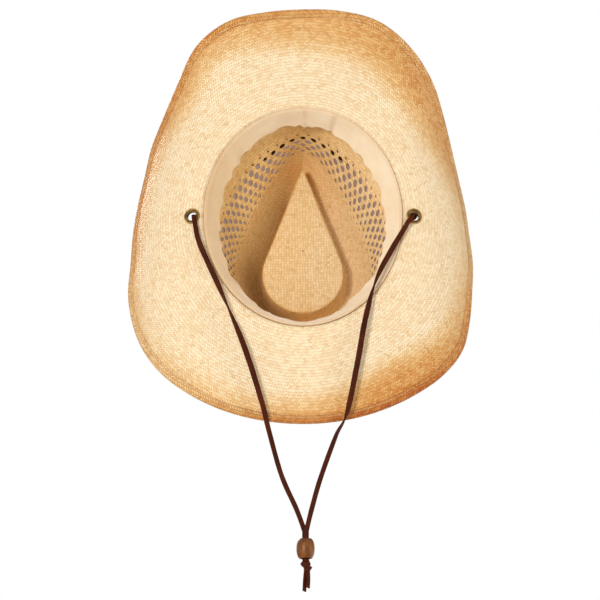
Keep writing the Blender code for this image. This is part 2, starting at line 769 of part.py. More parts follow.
def build_chin_lace():
    """Two strips from the eyelets through the bead to a knot, all on one pivot."""
    pivot = bpy.data.objects.new("chin_lace_pivot", None)
    pivot.location = (0.0, 0.0, PIVOT_Z)
    PARTS.objects.link(pivot)
    for side, label in ((-1, "left"), (1, "right")):
        build_strand(side, label, pivot)
        build_tail(side, label, pivot)
    build_knot(pivot)
    build_bead(pivot)


# ---------------------------------------------------------------- whole hat
def move_to_frame():
    """Brings the middle of the dent floor's underside to the origin."""
    frame_origin = Vector((0.0, DENT_CENTRE_Y, DENT_Z - STRAW_T / 2))
    for obj in list(PARTS.objects) + list(CUTTERS.objects):
        if obj.parent is None:
            obj.location -= frame_origin
    bpy.context.view_layer.update()


build_eyelets(build_straw())
build_brim_edge()
build_sweatband()
build_hat_band()
build_hat_band_tab()
build_crown_lace()
build_chin_lace()
move_to_frame()
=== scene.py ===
"""Looks for the straw cowboy hat: woven straw, cloth sweatband, leather laces, brass and wood."""

import math

import bpy
import numpy as np
from mathutils import Matrix, Vector


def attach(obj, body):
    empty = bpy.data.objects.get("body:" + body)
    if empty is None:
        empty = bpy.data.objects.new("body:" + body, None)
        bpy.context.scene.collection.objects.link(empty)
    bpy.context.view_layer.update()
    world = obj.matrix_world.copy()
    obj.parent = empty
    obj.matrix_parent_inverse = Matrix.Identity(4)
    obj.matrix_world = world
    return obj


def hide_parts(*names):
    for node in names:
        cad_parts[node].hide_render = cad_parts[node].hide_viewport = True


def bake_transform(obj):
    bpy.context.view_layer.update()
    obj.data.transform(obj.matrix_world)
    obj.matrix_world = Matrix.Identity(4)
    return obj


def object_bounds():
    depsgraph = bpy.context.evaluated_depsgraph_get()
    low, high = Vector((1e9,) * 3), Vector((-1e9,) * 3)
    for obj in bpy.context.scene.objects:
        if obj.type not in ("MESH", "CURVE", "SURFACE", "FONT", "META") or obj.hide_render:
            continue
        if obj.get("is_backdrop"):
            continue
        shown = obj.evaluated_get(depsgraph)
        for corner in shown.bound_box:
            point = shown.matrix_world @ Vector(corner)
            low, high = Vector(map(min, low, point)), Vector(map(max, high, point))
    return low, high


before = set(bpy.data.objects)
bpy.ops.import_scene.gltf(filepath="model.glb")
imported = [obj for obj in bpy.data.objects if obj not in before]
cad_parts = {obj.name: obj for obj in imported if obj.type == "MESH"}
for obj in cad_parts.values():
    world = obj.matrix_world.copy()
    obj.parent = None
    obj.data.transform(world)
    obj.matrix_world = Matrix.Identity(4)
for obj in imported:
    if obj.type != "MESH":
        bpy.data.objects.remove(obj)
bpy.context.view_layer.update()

# ------------------------------------------------------------------ layout
# Everything is laid out from the centre of the head opening, on the plane of
# the brim break, then moved by ORIGIN into the CAD frame.
ORIGIN = np.array((0.0, 0.0285, 0.0749))
OPEN_A, OPEN_B = 0.0855, 0.0995
STRAW_T = 0.0012
PITCHES = 56  # vents in one row round the crown
PER_PITCH = 6
N = PITCHES * PER_PITCH

REACH_RIGHT = (90.4, 92.4, 94.1, 89.2, 80.5, 69.6, 61.8, 57.8, 57.5, 58.9,
               63.4, 68.3, 76.3, 85.6, 88.6, 88.5, 88.4, 88.3, 88.1)
REACH_LEFT = (90.4, 91.1, 93.7, 89.1, 75.7, 67.9, 64.4, 60.5, 60.3, 62.2,
              65.6, 73.5, 80.1, 85.8, 88.6, 88.9, 88.8, 88.3, 88.1)
RISE = (-5.5, -2.0, 17.0, 42.0, 53.0, 53.0, 40.0, 16.0, 0.0, -5.5)
EDGE_SLOPE = (-2.0, 8.0, 45.0, 72.0, 80.0, 76.0, 62.0, 38.0, 8.0, -2.0)
HEM_R = 0.00145
HEM_FLAP, HEM_DROP = 0.0056, 0.00022

DENT_Y, DENT_Z = 0.0285, 0.0755
DENT_R, CREST_R, RIDGE_R = 0.0355, 0.0495, 0.0565
TIP = math.radians(69.1)
CROWN_H, WALL_TOP, WALL_FOOT = 0.100, 0.092, 0.014
VENT_Z = (0.0490, 0.0539, 0.0588, 0.0637, 0.0686)


def stations(right, left, phi):
    """Catmull-Rom through stations that run from the front round both sides."""
    ring = np.array(list(right) + list(left[-2:0:-1]), float)
    n = len(ring)
    f = (np.degrees(phi) % 360.0) * n / 360.0
    i = np.floor(f).astype(int)
    t = f - i
    a, b, c, d = (ring[(i + k) % n] for k in (-1, 0, 1, 2))
    return 0.5 * (2 * b + (c - a) * t + (2 * a - 5 * b + 4 * c - d) * t**2
                  + (3 * b - a - 3 * c + d) * t**3)


def oval(phi):
    return np.stack([OPEN_A * np.sin(phi), -OPEN_B * np.cos(phi)], -1)


def outward(phi):
    o = np.stack([np.sin(phi) / OPEN_A, -np.cos(phi) / OPEN_B], -1)
    return o / np.linalg.norm(o, axis=-1, keepdims=True)


_fine = np.linspace(0, 2 * np.pi, 7201)
_len = np.concatenate([[0], np.cumsum(np.linalg.norm(np.diff(oval(_fine), axis=0), axis=1))])
OPEN_ROUND = _len[-1]


def phi_of(turn):
    """Angle at a share of the way round the head opening, by length."""
    turn = np.asarray(turn, float)
    whole = np.floor(turn)
    return np.interp((turn - whole) * OPEN_ROUND, _len, _fine) + whole * 2 * np.pi


TURN = np.arange(N) / N
PHI = phi_of(TURN)


def ripple(phi, s):
    """Slow unevenness of hand-shaped straw, in metres."""
    return 0.00045 * (np.sin(5 * phi + 1.3 + 2.0 * s) + 0.7 * np.sin(9 * phi - 3.1 * s + 0.4)
                      + 0.5 * np.sin(14 * phi + 5.2 * s + 2.2)) * np.clip(s * 1.5, 0, 1)


def brim_curve(phi, fine=160):
    """Points of the brim's profile (offset, height) and length along it, for each angle."""
    reach = stations(REACH_RIGHT, REACH_LEFT, phi) / 1000
    rise = stations(RISE, RISE, phi) / 1000
    end = np.radians(stations(EDGE_SLOPE, EDGE_SLOPE, phi))
    start = np.radians(-3 + 12 * np.sin(phi) ** 2)
    chord = np.hypot(reach, rise)[..., None]
    p3 = np.stack([reach, rise], -1)
    p1 = np.stack([np.cos(start), np.sin(start)], -1) * chord * 0.5
    p2 = p3 - np.stack([np.cos(end), np.sin(end)], -1) * chord * 0.32
    s = np.linspace(0, 1, fine)[:, None, None]
    q = 3 * (1 - s) ** 2 * s * p1 + 3 * (1 - s) * s * s * p2 + s**3 * p3
    step = np.linalg.norm(np.diff(q, axis=0), axis=-1)
    run = np.concatenate([np.zeros((1, len(phi))), np.cumsum(step, 0)])
    tangent = (p3 - p2) / np.linalg.norm(p3 - p2, axis=-1, keepdims=True)
    return q, run, tangent


def at_length(q, run, want):
    """Profile points at the wanted length along each column's profile."""
    x = np.empty(len(want))
    z = np.empty(len(want))
    for k in range(len(want)):
        x[k] = np.interp(want[k], run[:, k], q[:, k, 0])
        z[k] = np.interp(want[k], run[:, k], q[:, k, 1])
    return x, z


def place(phi, offset, z):
    xy = oval(phi) + outward(phi) * np.asarray(offset)[..., None]
    return np.concatenate([xy, np.broadcast_to(z, xy.shape[:-1])[..., None]], -1)


def bearing(phi):
    p = oval(phi)
    return np.arctan2(p[..., 0], DENT_Y - p[..., 1])


def loop_point(phi, radius, tip_round):
    b = bearing(phi)
    r = radius / np.cos(np.maximum(0.0, TIP - np.sqrt(b * b + tip_round**2)))
    return np.stack([r * np.sin(b), DENT_Y - r * np.cos(b)], -1)


def wall(phi, z):
    z = np.broadcast_to(z, phi.shape)
    u = np.clip((z - WALL_FOOT) / (WALL_TOP - WALL_FOOT), 0, 1)
    w = (u * u * (3 - 2 * u))[..., None]
    xy = oval(phi) * (1 - w) + loop_point(phi, RIDGE_R, 0.151) * w
    return np.concatenate([xy, z[..., None]], -1)


def wall_normal(phi, z):
    a = wall(phi, z + 0.001) - wall(phi, z - 0.001)
    b = wall(phi + 0.01, z) - wall(phi - 0.01, z)
    n = np.cross(b, a)
    return n / np.linalg.norm(n, axis=-1, keepdims=True)


def on_wall(phi, z, lift):
    z = np.broadcast_to(z, phi.shape)
    return wall(phi, z) + wall_normal(phi, z) * np.asarray(lift)[..., None]


# ------------------------------------------------------------------ mesh makers
def new_mesh(name, points, faces, uv=None, extra=None, mats=None):
    """A mesh object from points (before the move to the CAD frame) and polygons."""
    mesh = bpy.data.meshes.new(name)
    pts = np.asarray(points, float) - ORIGIN
    mesh.from_pydata(pts.tolist(), [], [list(map(int, f)) for f in faces])
    if uv is not None:
        layer = mesh.uv_layers.new(name="weave")
        layer.data.foreach_set("uv", np.asarray(uv, np.float32).ravel())
    if extra is not None:
        layer = mesh.uv_layers.new(name="tone")
        layer.data.foreach_set("uv", np.asarray(extra, np.float32).ravel())
    if mats is not None:
        mesh.polygons.foreach_set("material_index", np.asarray(mats, np.int32))
    mesh.polygons.foreach_set("use_smooth", np.ones(len(mesh.polygons), bool))
    mesh.update()
    obj = bpy.data.objects.new(name, mesh)
    bpy.context.scene.collection.objects.link(obj)
    return obj


def grid(name, rows, turn, dist, tone, closed=True, skip=None, mats=None, hub=None):
    """Rows of points (rows, columns, 3) as one sheet, with a weave map (turn, distance) and a tone map."""
    rows = np.asarray(rows)
    nr, nc = rows.shape[:2]
    pts = rows.reshape(-1, 3)
    faces, uv, extra, mat = [], [], [], []
    last = nc if closed else nc - 1
    for r in range(nr - 1):
        for c in range(last):
            if skip is not None and skip(r, c):
                continue
            d = (c + 1) % nc
            faces.append((r * nc + c, r * nc + d, (r + 1) * nc + d, (r + 1) * nc + c))
            tc, td = turn[r][c], turn[r][d] + (1.0 if d < c else 0.0)
            ec, ed = turn[r + 1][c], turn[r + 1][d] + (1.0 if d < c else 0.0)
            uv += [(tc, dist[r][c]), (td, dist[r][d]), (ed, dist[r + 1][d]), (ec, dist[r + 1][c])]
            extra += [tone[r][c], tone[r][d], tone[r + 1][d], tone[r + 1][c]]
            mat.append(mats[r] if mats else 0)
    if hub is not None:
        pts = np.concatenate([pts, [hub]])
        base = (nr - 1) * nc
        for c in range(nc):
            d = (c + 1) % nc
            faces.append((base + c, base + d, len(pts) - 1))
            uv += [(turn[-1][c], dist[-1][c])] * 3
            extra += [tone[-1][c]] * 3
            mat.append(mats[-1] if mats else 0)
    used = np.zeros(len(pts), bool)
    for f in faces:
        used[list(f)] = True
    index = np.cumsum(used) - 1
    faces = [tuple(index[i] for i in f) for f in faces]
    return new_mesh(name, pts[used], faces, uv, extra, mat)


def thicken(obj, thickness, offset=0.0, rim=True):
    solid = obj.modifiers.new("thickness", "SOLIDIFY")
    solid.thickness = thickness
    solid.offset = offset
    solid.use_even_offset = True
    solid.use_rim = rim
    return obj


def apply_modifiers(obj):
    """Bakes the modifiers into the mesh."""
    graph = bpy.context.evaluated_depsgraph_get()
    graph.update()
    mesh = bpy.data.meshes.new_from_object(obj.evaluated_get(graph))
    obj.modifiers.clear()
    obj.data = mesh
    return obj


def unit(v):
    v = np.asarray(v, float)
    return v / np.linalg.norm(v, axis=-1, keepdims=True)


def catmull(points, per):
    pts = np.asarray(points, float)
    pts = np.concatenate([[2 * pts[0] - pts[1]], pts, [2 * pts[-1] - pts[-2]]])
    out = []
    for i in range(1, len(pts) - 2):
        a, b, c, d = pts[i - 1:i + 3]
        for k in range(per):
            t = k / per
            out.append(0.5 * (2 * b + (c - a) * t + (2 * a - 5 * b + 4 * c - d) * t * t
                              + (3 * b - a - 3 * c + d) * t**3))
    out.append(pts[-2])
    return np.array(out)


def strap_section(width, thick, corner=0.35, sides=16):
    """Rounded flat section as (across, through) points."""
    a = np.linspace(0, 2 * np.pi, sides, endpoint=False)
    p = 2.0 / 5.0
    x = np.sign(np.cos(a)) * np.abs(np.cos(a)) ** (p * 0.55) * width / 2
    y = np.sign(np.sin(a)) * np.abs(np.sin(a)) ** (p * 1.2) * thick / 2
    return np.stack([x, y], -1)


def sweep(name, path, wide, section, closed=False, scale=None, wobble=0.0):
    """Sweeps a section along the path; wide is the direction of its first axis."""
    path = np.asarray(path, float)
    n = len(path)
    if closed:
        tangent = unit(np.roll(path, -1, 0) - np.roll(path, 1, 0))
    else:
        tangent = unit(np.gradient(path, axis=0))
    wide = np.asarray(wide, float)
    wide = unit(wide - (wide * tangent).sum(-1, keepdims=True) * tangent)
    thin = np.cross(tangent, wide)
    run = np.concatenate([[0], np.cumsum(np.linalg.norm(np.diff(path, axis=0), axis=1))])
    m = len(section)
    k = np.ones(n) if scale is None else np.asarray(scale)
    sec = np.asarray(section)
    if wobble:
        k = k * (1 + wobble * (np.sin(run * 310) * 0.6 + np.sin(run * 97 + 1.7) * 0.5))
    pts = (path[:, None] + wide[:, None] * (sec[None, :, :1] * k[:, None, None])
           + thin[:, None] * (sec[None, :, 1:] * k[:, None, None]))
    faces, uv = [], []
    total = run[-1]
    for i in range(n if closed else n - 1):
        j = (i + 1) % n
        for a in range(m):
            b = (a + 1) % m
            faces.append((i * m + a, i * m + b, j * m + b, j * m + a))
            v0, v1 = run[i], (run[j] if j > i else total + np.linalg.norm(path[0] - path[-1]))
            ua, ub = a / m, (a + 1) / m
            uv += [(ua, v0), (ub, v0), (ub, v1), (ua, v1)]
    if not closed:
        faces.append(tuple(range(m - 1, -1, -1)))
        uv += [(0.5, run[0])] * m
        faces.append(tuple((n - 1) * m + a for a in range(m)))
        uv += [(0.5, total)] * m
    obj = new_mesh(name, pts.reshape(-1, 3), faces, uv, [(0.0, 0.0)] * len(uv))
    obj.data.polygons.foreach_set(
        "use_smooth", np.array([len(p.vertices) == 4 for p in obj.data.polygons]))
    # the outside has to face out
    import bmesh
    bm = bmesh.new()
    bm.from_mesh(obj.data)
    bmesh.ops.recalc_face_normals(bm, faces=bm.faces)
    bm.to_mesh(obj.data)
    bm.free()
    return obj


def lathe(name, profile, steps, matrix, closed=True):
    """Turns a (radius, height) profile about Z, then places it by matrix (laid out from the opening)."""
    prof = np.asarray(profile, float)
    a = np.arange(steps) / steps * 2 * np.pi
    pts = np.stack([prof[:, None, 0] * np.cos(a), prof[:, None, 0] * np.sin(a),
                    np.broadcast_to(prof[:, None, 1], (len(prof), steps))], -1).reshape(-1, 3)
    m = np.array(matrix)
    pts = pts @ m[:3, :3].T + m[:3, 3]
    run = np.concatenate([[0], np.cumsum(np.linalg.norm(np.diff(prof, axis=0), axis=1))])
    faces, uv = [], []
    last = len(prof) if closed else len(prof) - 1
    for i in range(last):
        j = (i + 1) % len(prof)
        vj = run[j] if j else run[-1] + np.linalg.norm(prof[0] - prof[-1])
        for k in range(steps):
            l = (k + 1) % steps
            faces.append((i * steps + k, i * steps + l, j * steps + l, j * steps + k))
            uv += [(k / steps, run[i]), ((k + 1) / steps, run[i]),
                   ((k + 1) / steps, vj), (k / steps, vj)]
    obj = new_mesh(name, pts, faces, uv, [(0.0, 0.0)] * len(uv))
    import bmesh
    bm = bmesh.new()
    bm.from_mesh(obj.data)
    bmesh.ops.remove_doubles(bm, verts=bm.verts, dist=0.000002)
    bmesh.ops.recalc_face_normals(bm, faces=bm.faces)
    bm.to_mesh(obj.data)
    bm.free()
    return obj


def stitches(name, path, count, length, radius, sink=0.5, lean=None):
    """Separate short stitches along a closed path, each rounded and pulled down at its ends."""
    path = np.asarray(path, float)
    n = len(path)
    seg = np.linalg.norm(np.roll(path, -1, 0) - path, axis=1)
    run = np.concatenate([[0], np.cumsum(seg)])
    total = run[-1]
    loop = np.concatenate([path, path[:1]])

    def at(s):
        s = s % total
        return np.array([np.interp(s, run, loop[:, i]) for i in range(3)])

    ring = 6
    pts, faces, uv = [], [], []
    for k in range(count):
        mid = total * (k + 0.5) / count
        half = length / 2
        start = len(pts)
        shares = (-1.0, -0.8, -0.3, 0.3, 0.8, 1.0)
        for f in shares:
            c = at(mid + f * half)
            t = unit(at(mid + f * half + 0.0004) - at(mid + f * half - 0.0004))
            down = np.array(lean(c)) if lean is not None else np.array((0, 0, 1.0))
            down = unit(down - (down @ t) * t)
            side = np.cross(t, down)
            r = radius * math.sqrt(max(0.04, 1 - (abs(f) ** 4)))
            c = c + down * radius * sink * f * f
            for a in range(ring):
                q = 2 * math.pi * a / ring
                pts.append(c + side * r * math.cos(q) + down * r * math.sin(q))
        for i in range(len(shares) - 1):
            for a in range(ring):
                b = (a + 1) % ring
                faces.append((start + i * ring + a, start + i * ring + b,
                              start + (i + 1) * ring + b, start + (i + 1) * ring + a))
                uv += [(a / ring, k), (b / ring, k), (b / ring, k + 0.2), (a / ring, k + 0.2)]
        faces.append(tuple(start + a for a in range(ring - 1, -1, -1)))
        uv += [(0, k)] * ring
        faces.append(tuple(start + (len(shares) - 1) * ring + a for a in range(ring)))
        uv += [(0, k)] * ring
    return new_mesh(name, pts, faces, uv, [(0.0, 0.0)] * len(uv))


# ------------------------------------------------------------------ materials
class Nodes:
    """Small helper that strings shader nodes together."""

    def __init__(self, name):
        self.mat = bpy.data.materials.new(name)
        self.mat.use_nodes = True
        self.tree = self.mat.node_tree
        self.tree.nodes.clear()
        self.out = self.tree.nodes.new("ShaderNodeOutputMaterial")
        self.bsdf = self.tree.nodes.new("ShaderNodeBsdfPrincipled")
        self.tree.links.new(self.bsdf.outputs[0], self.out.inputs["Surface"])

    def put(self, socket, value):
        if isinstance(value, bpy.types.NodeSocket):
            self.tree.links.new(value, socket)
        else:
            socket.default_value = value

    def node(self, kind, inputs=None, output=0, **props):
        n = self.tree.nodes.new(kind)
        for k, v in props.items():
            setattr(n, k, v)
        for k, v in (inputs or {}).items():
            self.put(n.inputs[k], v)
        return n.outputs[output]

    def math(self, op, a, b=0.0, c=0.0, clamp=False):
        return self.node("ShaderNodeMath", {0: a, 1: b, 2: c}, operation=op, use_clamp=clamp)

    def mix(self, f, a, b, blend="MIX"):
        n = self.tree.nodes.new("ShaderNodeMix")
        n.data_type = "RGBA"
        n.blend_type = blend
        self.put(n.inputs["Factor"], f)
        self.put(n.inputs[6], a)
        self.put(n.inputs[7], b)
        return n.outputs[2]

    def noise(self, vector, scale, detail=3.0, rough=0.5, output=0):
        return self.node("ShaderNodeTexNoise",
                         {"Vector": vector, "Scale": scale, "Detail": detail, "Roughness": rough}, output)

    def ramp(self, value, low, high, to_low=0.0, to_high=1.0, smooth=True):
        return self.node("ShaderNodeMapRange",
                         {"Value": value, "From Min": low, "From Max": high,
                          "To Min": to_low, "To Max": to_high},
                         interpolation_type="SMOOTHSTEP" if smooth else "LINEAR")

    def position(self):
        return self.node("ShaderNodeTexCoord", output=3)

    def uv(self, name):
        u = self.node("ShaderNodeUVMap", uv_map=name)
        s = self.tree.nodes.new("ShaderNodeSeparateXYZ")
        self.tree.links.new(u, s.inputs[0])
        return s.outputs[0], s.outputs[1]

    def bump(self, height, strength, distance, normal=None):
        inputs = {"Height": height, "Strength": strength, "Distance": distance}
        if normal is not None:
            inputs["Normal"] = normal
        return self.node("ShaderNodeBump", inputs)

    def set(self, **kw):
        for k, v in kw.items():
            self.put(self.bsdf.inputs[k.replace("_", " ")], v)
        return self.mat


def rgb(r, g, b):
    """sRGB 0-255 to a linear colour."""
    def lin(v):
        v /= 255
        return v / 12.92 if v <= 0.04045 else ((v + 0.055) / 1.055) ** 2.4
    return (lin(r), lin(g), lin(b), 1.0)


STRAW_BASE = rgb(254, 234, 197)


def straw_material(name, ring_weave=True, inside=False):
    m = Nodes(name)
    pos = m.position()
    tone, depth = m.uv("tone")
    if ring_weave:
        turn, dist = m.uv("weave")
        pitch = 0.0028
        ring = m.math("DIVIDE", dist, pitch)
        row = m.math("FLOOR", ring)
        fy = m.math("SUBTRACT", ring, row)
        grow = m.math("MULTIPLY", m.math("GREATER_THAN", dist, 0.0), 2.82)
        grow = m.math("ADD", grow, 2.16)
        round_ = m.math("ADD", m.math("MULTIPLY", m.math("MULTIPLY", row, pitch), grow), OPEN_ROUND)
        count = m.math("ROUND", m.math("DIVIDE", round_, 0.0021))
        parity = m.math("MODULO", m.math("ABSOLUTE", row), 2.0)
        slant = m.math("SUBTRACT", m.math("MULTIPLY", parity, 2.1), 1.05)
        x = m.math("MULTIPLY", turn, count)
        x = m.math("ADD", x, m.math("MULTIPLY", slant, m.math("SUBTRACT", fy, 0.5)))
        x = m.math("ADD", x, m.math("MULTIPLY", row, 0.37))
        cell = m.math("FLOOR", x)
        fx = m.math("SUBTRACT", x, cell)
    else:
        # straight over-and-under weave across the dent floor
        split = m.tree.nodes.new("ShaderNodeSeparateXYZ")
        wob = m.noise(pos, 90.0, 3.0)
        m.tree.links.new(pos, split.inputs[0])
        gx = m.math("DIVIDE", m.math("ADD", split.outputs[0], m.math("MULTIPLY", wob, 0.0050)), 0.0024)
        gy = m.math("DIVIDE", m.math("ADD", split.outputs[1], m.math("MULTIPLY", wob, -0.0044)), 0.0024)
        cell = m.math("FLOOR", gx)
        row = m.math("FLOOR", gy)
        fx = m.math("SUBTRACT", gx, cell)
        fy = m.math("SUBTRACT", gy, row)
    # each straw is a rounded lozenge, sunk where it passes under its neighbour
    hx = m.math("SINE", m.math("MULTIPLY", fx, math.pi))
    hy = m.math("SINE", m.math("MULTIPLY", fy, math.pi))
    height = m.math("POWER", m.math("MULTIPLY", hx, m.math("POWER", hy, 0.6)), 0.6)
    over = m.math("MODULO", m.math("ABSOLUTE", m.math("ADD", cell, row)), 2.0)
    height = m.math("MULTIPLY", height, m.math("ADD", m.math("MULTIPLY", over, 0.22), 0.78))
    seed = m.node("ShaderNodeCombineXYZ", {0: cell, 1: row, 2: 0.0})
    grey = m.node("ShaderNodeTexWhiteNoise", {"Vector": seed})
    broad = m.noise(pos, 22.0, 4.0, 0.6)
    fine = m.noise(pos, 900.0, 2.0, 0.5)
    streak = m.noise(pos, 140.0, 3.0, 0.6)
    # colour: pale straw, single straws a little darker, gaps shaded
    colour = m.mix(m.ramp(grey, 0.0, 1.0, 0.0, 0.6), STRAW_BASE, rgb(234, 196, 140))
    colour = m.mix(m.ramp(grey, 0.95, 0.99, 0.0, 0.25), colour, rgb(204, 158, 98))
    colour = m.mix(m.ramp(streak, 0.45, 0.75, 0.0, 0.35), colour, rgb(252, 234, 200))
    gap = m.ramp(height, 0.05, 0.74, (0.46 if inside else 0.63) if ring_weave else 0.36, 0.0)
    colour = m.mix(gap, colour, rgb(188, 130, 70))
    # toasting toward the edge, as a power of a warm filter; its uneven strength round the brim also holds painted
    # shade of the curled brim
    uneven = m.ramp(m.noise(pos, 30.0, 4.0, 0.65), 0.25, 0.75, 0.84, 1.16, smooth=False)
    amount = m.math("MULTIPLY", tone, uneven)
    grain = m.math("MULTIPLY", amount, m.ramp(grey, 0.0, 1.0, 0.85, 1.15))
    filt = m.node("ShaderNodeCombineColor", {
        0: m.math("POWER", 0.81, grain), 1: m.math("POWER", 0.56, grain), 2: m.math("POWER", 0.29, grain)})
    colour = m.mix(1.0, colour, filt, "MULTIPLY")
    if inside:
        # painted shade in the gutter beside the dent, strongest on the left side
        painted_fold_shade = m.math("SUBTRACT", depth, 1.0, clamp=True)
        colour = m.mix(painted_fold_shade, colour, m.mix(1.0, colour, (0.47, 0.36, 0.24, 1.0), "MULTIPLY"))
        # painted bounce light: light that has bounced about inside the crown comes back warmer, so the colour is
        # tinted warmer with depth
        colour = m.mix(m.math("MULTIPLY", depth, 1.0, clamp=True), colour,
                       m.mix(1.0, colour, (1.0, 0.83, 0.50, 1.0), "MULTIPLY"))
    # painted shade: the inside of the dent floor is a little darker than its outside
    if inside and not ring_weave:
        colour = m.mix(1.0, colour, (0.88, 0.85, 0.80, 1.0), "MULTIPLY")
    # a few dark flecks of husk
    fleck = m.node("ShaderNodeTexVoronoi", {"Vector": pos, "Scale": 75.0}, output=0)
    mark = m.node("ShaderNodeVectorMath", {0: pos, 1: (-0.0002, -0.0217, 0.0)}, output=1, operation="DISTANCE")
    colour = m.mix(m.ramp(mark, 0.0006, 0.0011, 0.85, 0.0), colour, rgb(96, 56, 26))
    spot = m.math("MULTIPLY", m.ramp(fleck, 0.0, 0.055, 1.0, 0.0),
                  m.ramp(m.noise(pos, 45.0, 0.0), 0.62, 0.66, 0.0, 0.8))
    colour = m.mix(spot, colour, rgb(120, 72, 34))
    full = m.math("ADD", height, m.math("MULTIPLY", fine, 0.25))
    full = m.math("ADD", full, m.math("MULTIPLY", broad, 0.2))
    normal = m.bump(full, (0.75 if inside else 1.05) if ring_weave else 0.6, 0.0008 if ring_weave else 0.00055)
    rough = m.ramp(streak, 0.3, 0.8, 0.62, 0.42, smooth=False)
    m.set(Base_Color=colour, Roughness=rough, Normal=normal)
    m.bsdf.inputs["Specular IOR Level"].default_value = 0.35
    m.bsdf.inputs["Sheen Weight"].default_value = 0.12
    m.bsdf.inputs["Sheen Roughness"].default_value = 0.5
    return m.mat


def cloth_material():
    m = Nodes("sweatband_twill")
    pos = m.position()
    turn, dist = m.uv("weave")
    a = m.math("MULTIPLY", turn, 900.0)
    b = m.math("DIVIDE", dist, 0.00045)
    twill = m.math("SINE", m.math("MULTIPLY", m.math("ADD", a, m.math("MULTIPLY", b, 0.5)), 2 * math.pi))
    weft = m.math("SINE", m.math("MULTIPLY", b, 2 * math.pi))
    height = m.math("ADD", m.math("MULTIPLY", twill, 0.6), m.math("MULTIPLY", weft, 0.4))
    broad = m.noise(pos, 30.0, 4.0, 0.6)
    soft = m.noise(pos, 110.0, 3.0, 0.6)
    colour = m.mix(m.ramp(broad, 0.35, 0.7), rgb(242, 223, 192), rgb(235, 211, 175))
    colour = m.mix(m.ramp(soft, 0.5, 0.8, 0.0, 0.25), colour, rgb(230, 198, 160))
    colour = m.mix(m.ramp(height, -0.9, -0.2, 0.12, 0.0), colour, rgb(206, 170, 130))
    # painted shade along the fold of the overlapped seam at the front, and in a crease beside it
    seam = m.math("ABSOLUTE", m.math("SUBTRACT", m.math("FRACT", m.math("ADD", turn, 0.5)), 0.5016))
    colour = m.mix(m.ramp(seam, 0.0006, 0.0060, 0.32, 0.0), colour, rgb(196, 160, 124))
    crease = m.math("ABSOLUTE", m.math("SUBTRACT", m.math("FRACT", m.math("ADD", turn, 0.5)), 0.5500))
    colour = m.mix(m.ramp(crease, 0.0010, 0.0075, 0.35, 0.0), colour, rgb(204, 164, 124))
    # painted shade: duller on the side turned from the light, and a painted shadow along the foot under the brim
    # break
    left = m.math("SINE", m.math("MULTIPLY", turn, -2 * math.pi))
    colour = m.mix(m.ramp(left, 0.0, 1.0), colour, m.mix(1.0, colour, (0.90, 0.80, 0.66, 1.0), "MULTIPLY"))
    colour = m.mix(m.ramp(dist, 0.0002, 0.0016, 0.45, 0.0), colour, rgb(206, 164, 118))
    full = m.math("ADD", height, m.math("MULTIPLY", soft, 3.0))
    m.set(Base_Color=colour, Roughness=0.88, Normal=m.bump(full, 0.35, 0.00018))
    m.bsdf.inputs["Sheen Weight"].default_value = 0.3
    m.bsdf.inputs["Subsurface Weight"].default_value = 0.0
    return m.mat


def leather_material(name, dark, mid, worn, scale=1.0):
    m = Nodes(name)
    pos = m.position()
    across, along = m.uv("weave")
    pebble = m.node("ShaderNodeTexVoronoi", {"Vector": pos, "Scale": 1500.0 * scale}, output=0)
    broad = m.noise(pos, 60.0 * scale, 4.0, 0.6)
    fine = m.noise(pos, 900.0 * scale, 3.0, 0.7)
    colour = m.mix(m.ramp(broad, 0.3, 0.72), dark, mid)
    colour = m.mix(m.ramp(fine, 0.55, 0.8, 0.0, 0.5), colour, worn)
    # rubbed paler along the edges of the strip
    geo = m.node("ShaderNodeNewGeometry", output=7)
    rub = m.ramp(geo, 0.52, 0.60, 0.0, 0.6)
    colour = m.mix(rub, colour, worn)
    height = m.math("ADD", m.math("MULTIPLY", pebble, 0.8), m.math("MULTIPLY", fine, 0.9))
    m.set(Base_Color=colour, Roughness=m.ramp(broad, 0.3, 0.7, 0.5, 0.72),
          Normal=m.bump(height, 0.5, 0.00012))
    m.bsdf.inputs["Specular IOR Level"].default_value = 0.07
    return m.mat


def brass_material(name="antique_brass"):
    m = Nodes(name)
    pos = m.position()
    broad = m.noise(pos, 260.0, 5.0, 0.65)
    fine = m.noise(pos, 1800.0, 3.0, 0.6)
    point = m.node("ShaderNodeNewGeometry", output=7)
    patina = m.ramp(broad, 0.34, 0.62)
    colour = m.mix(patina, rgb(142, 98, 40), rgb(50, 33, 13))
    colour = m.mix(m.ramp(point, 0.44, 0.50, 0.85, 0.0), colour, rgb(40, 25, 10))
    # painted highlight along the rounded crests of the brass
    colour = m.mix(m.ramp(point, 0.51, 0.57, 0.0, 0.55), colour, rgb(214, 170, 92))
    m.set(Base_Color=colour, Metallic=m.ramp(patina, 0.0, 1.0, 0.95, 0.6),
          Roughness=m.ramp(fine, 0.3, 0.7, 0.28, 0.5),
          Normal=m.bump(m.math("ADD", fine, broad), 0.25, 0.00008))
    return m.mat


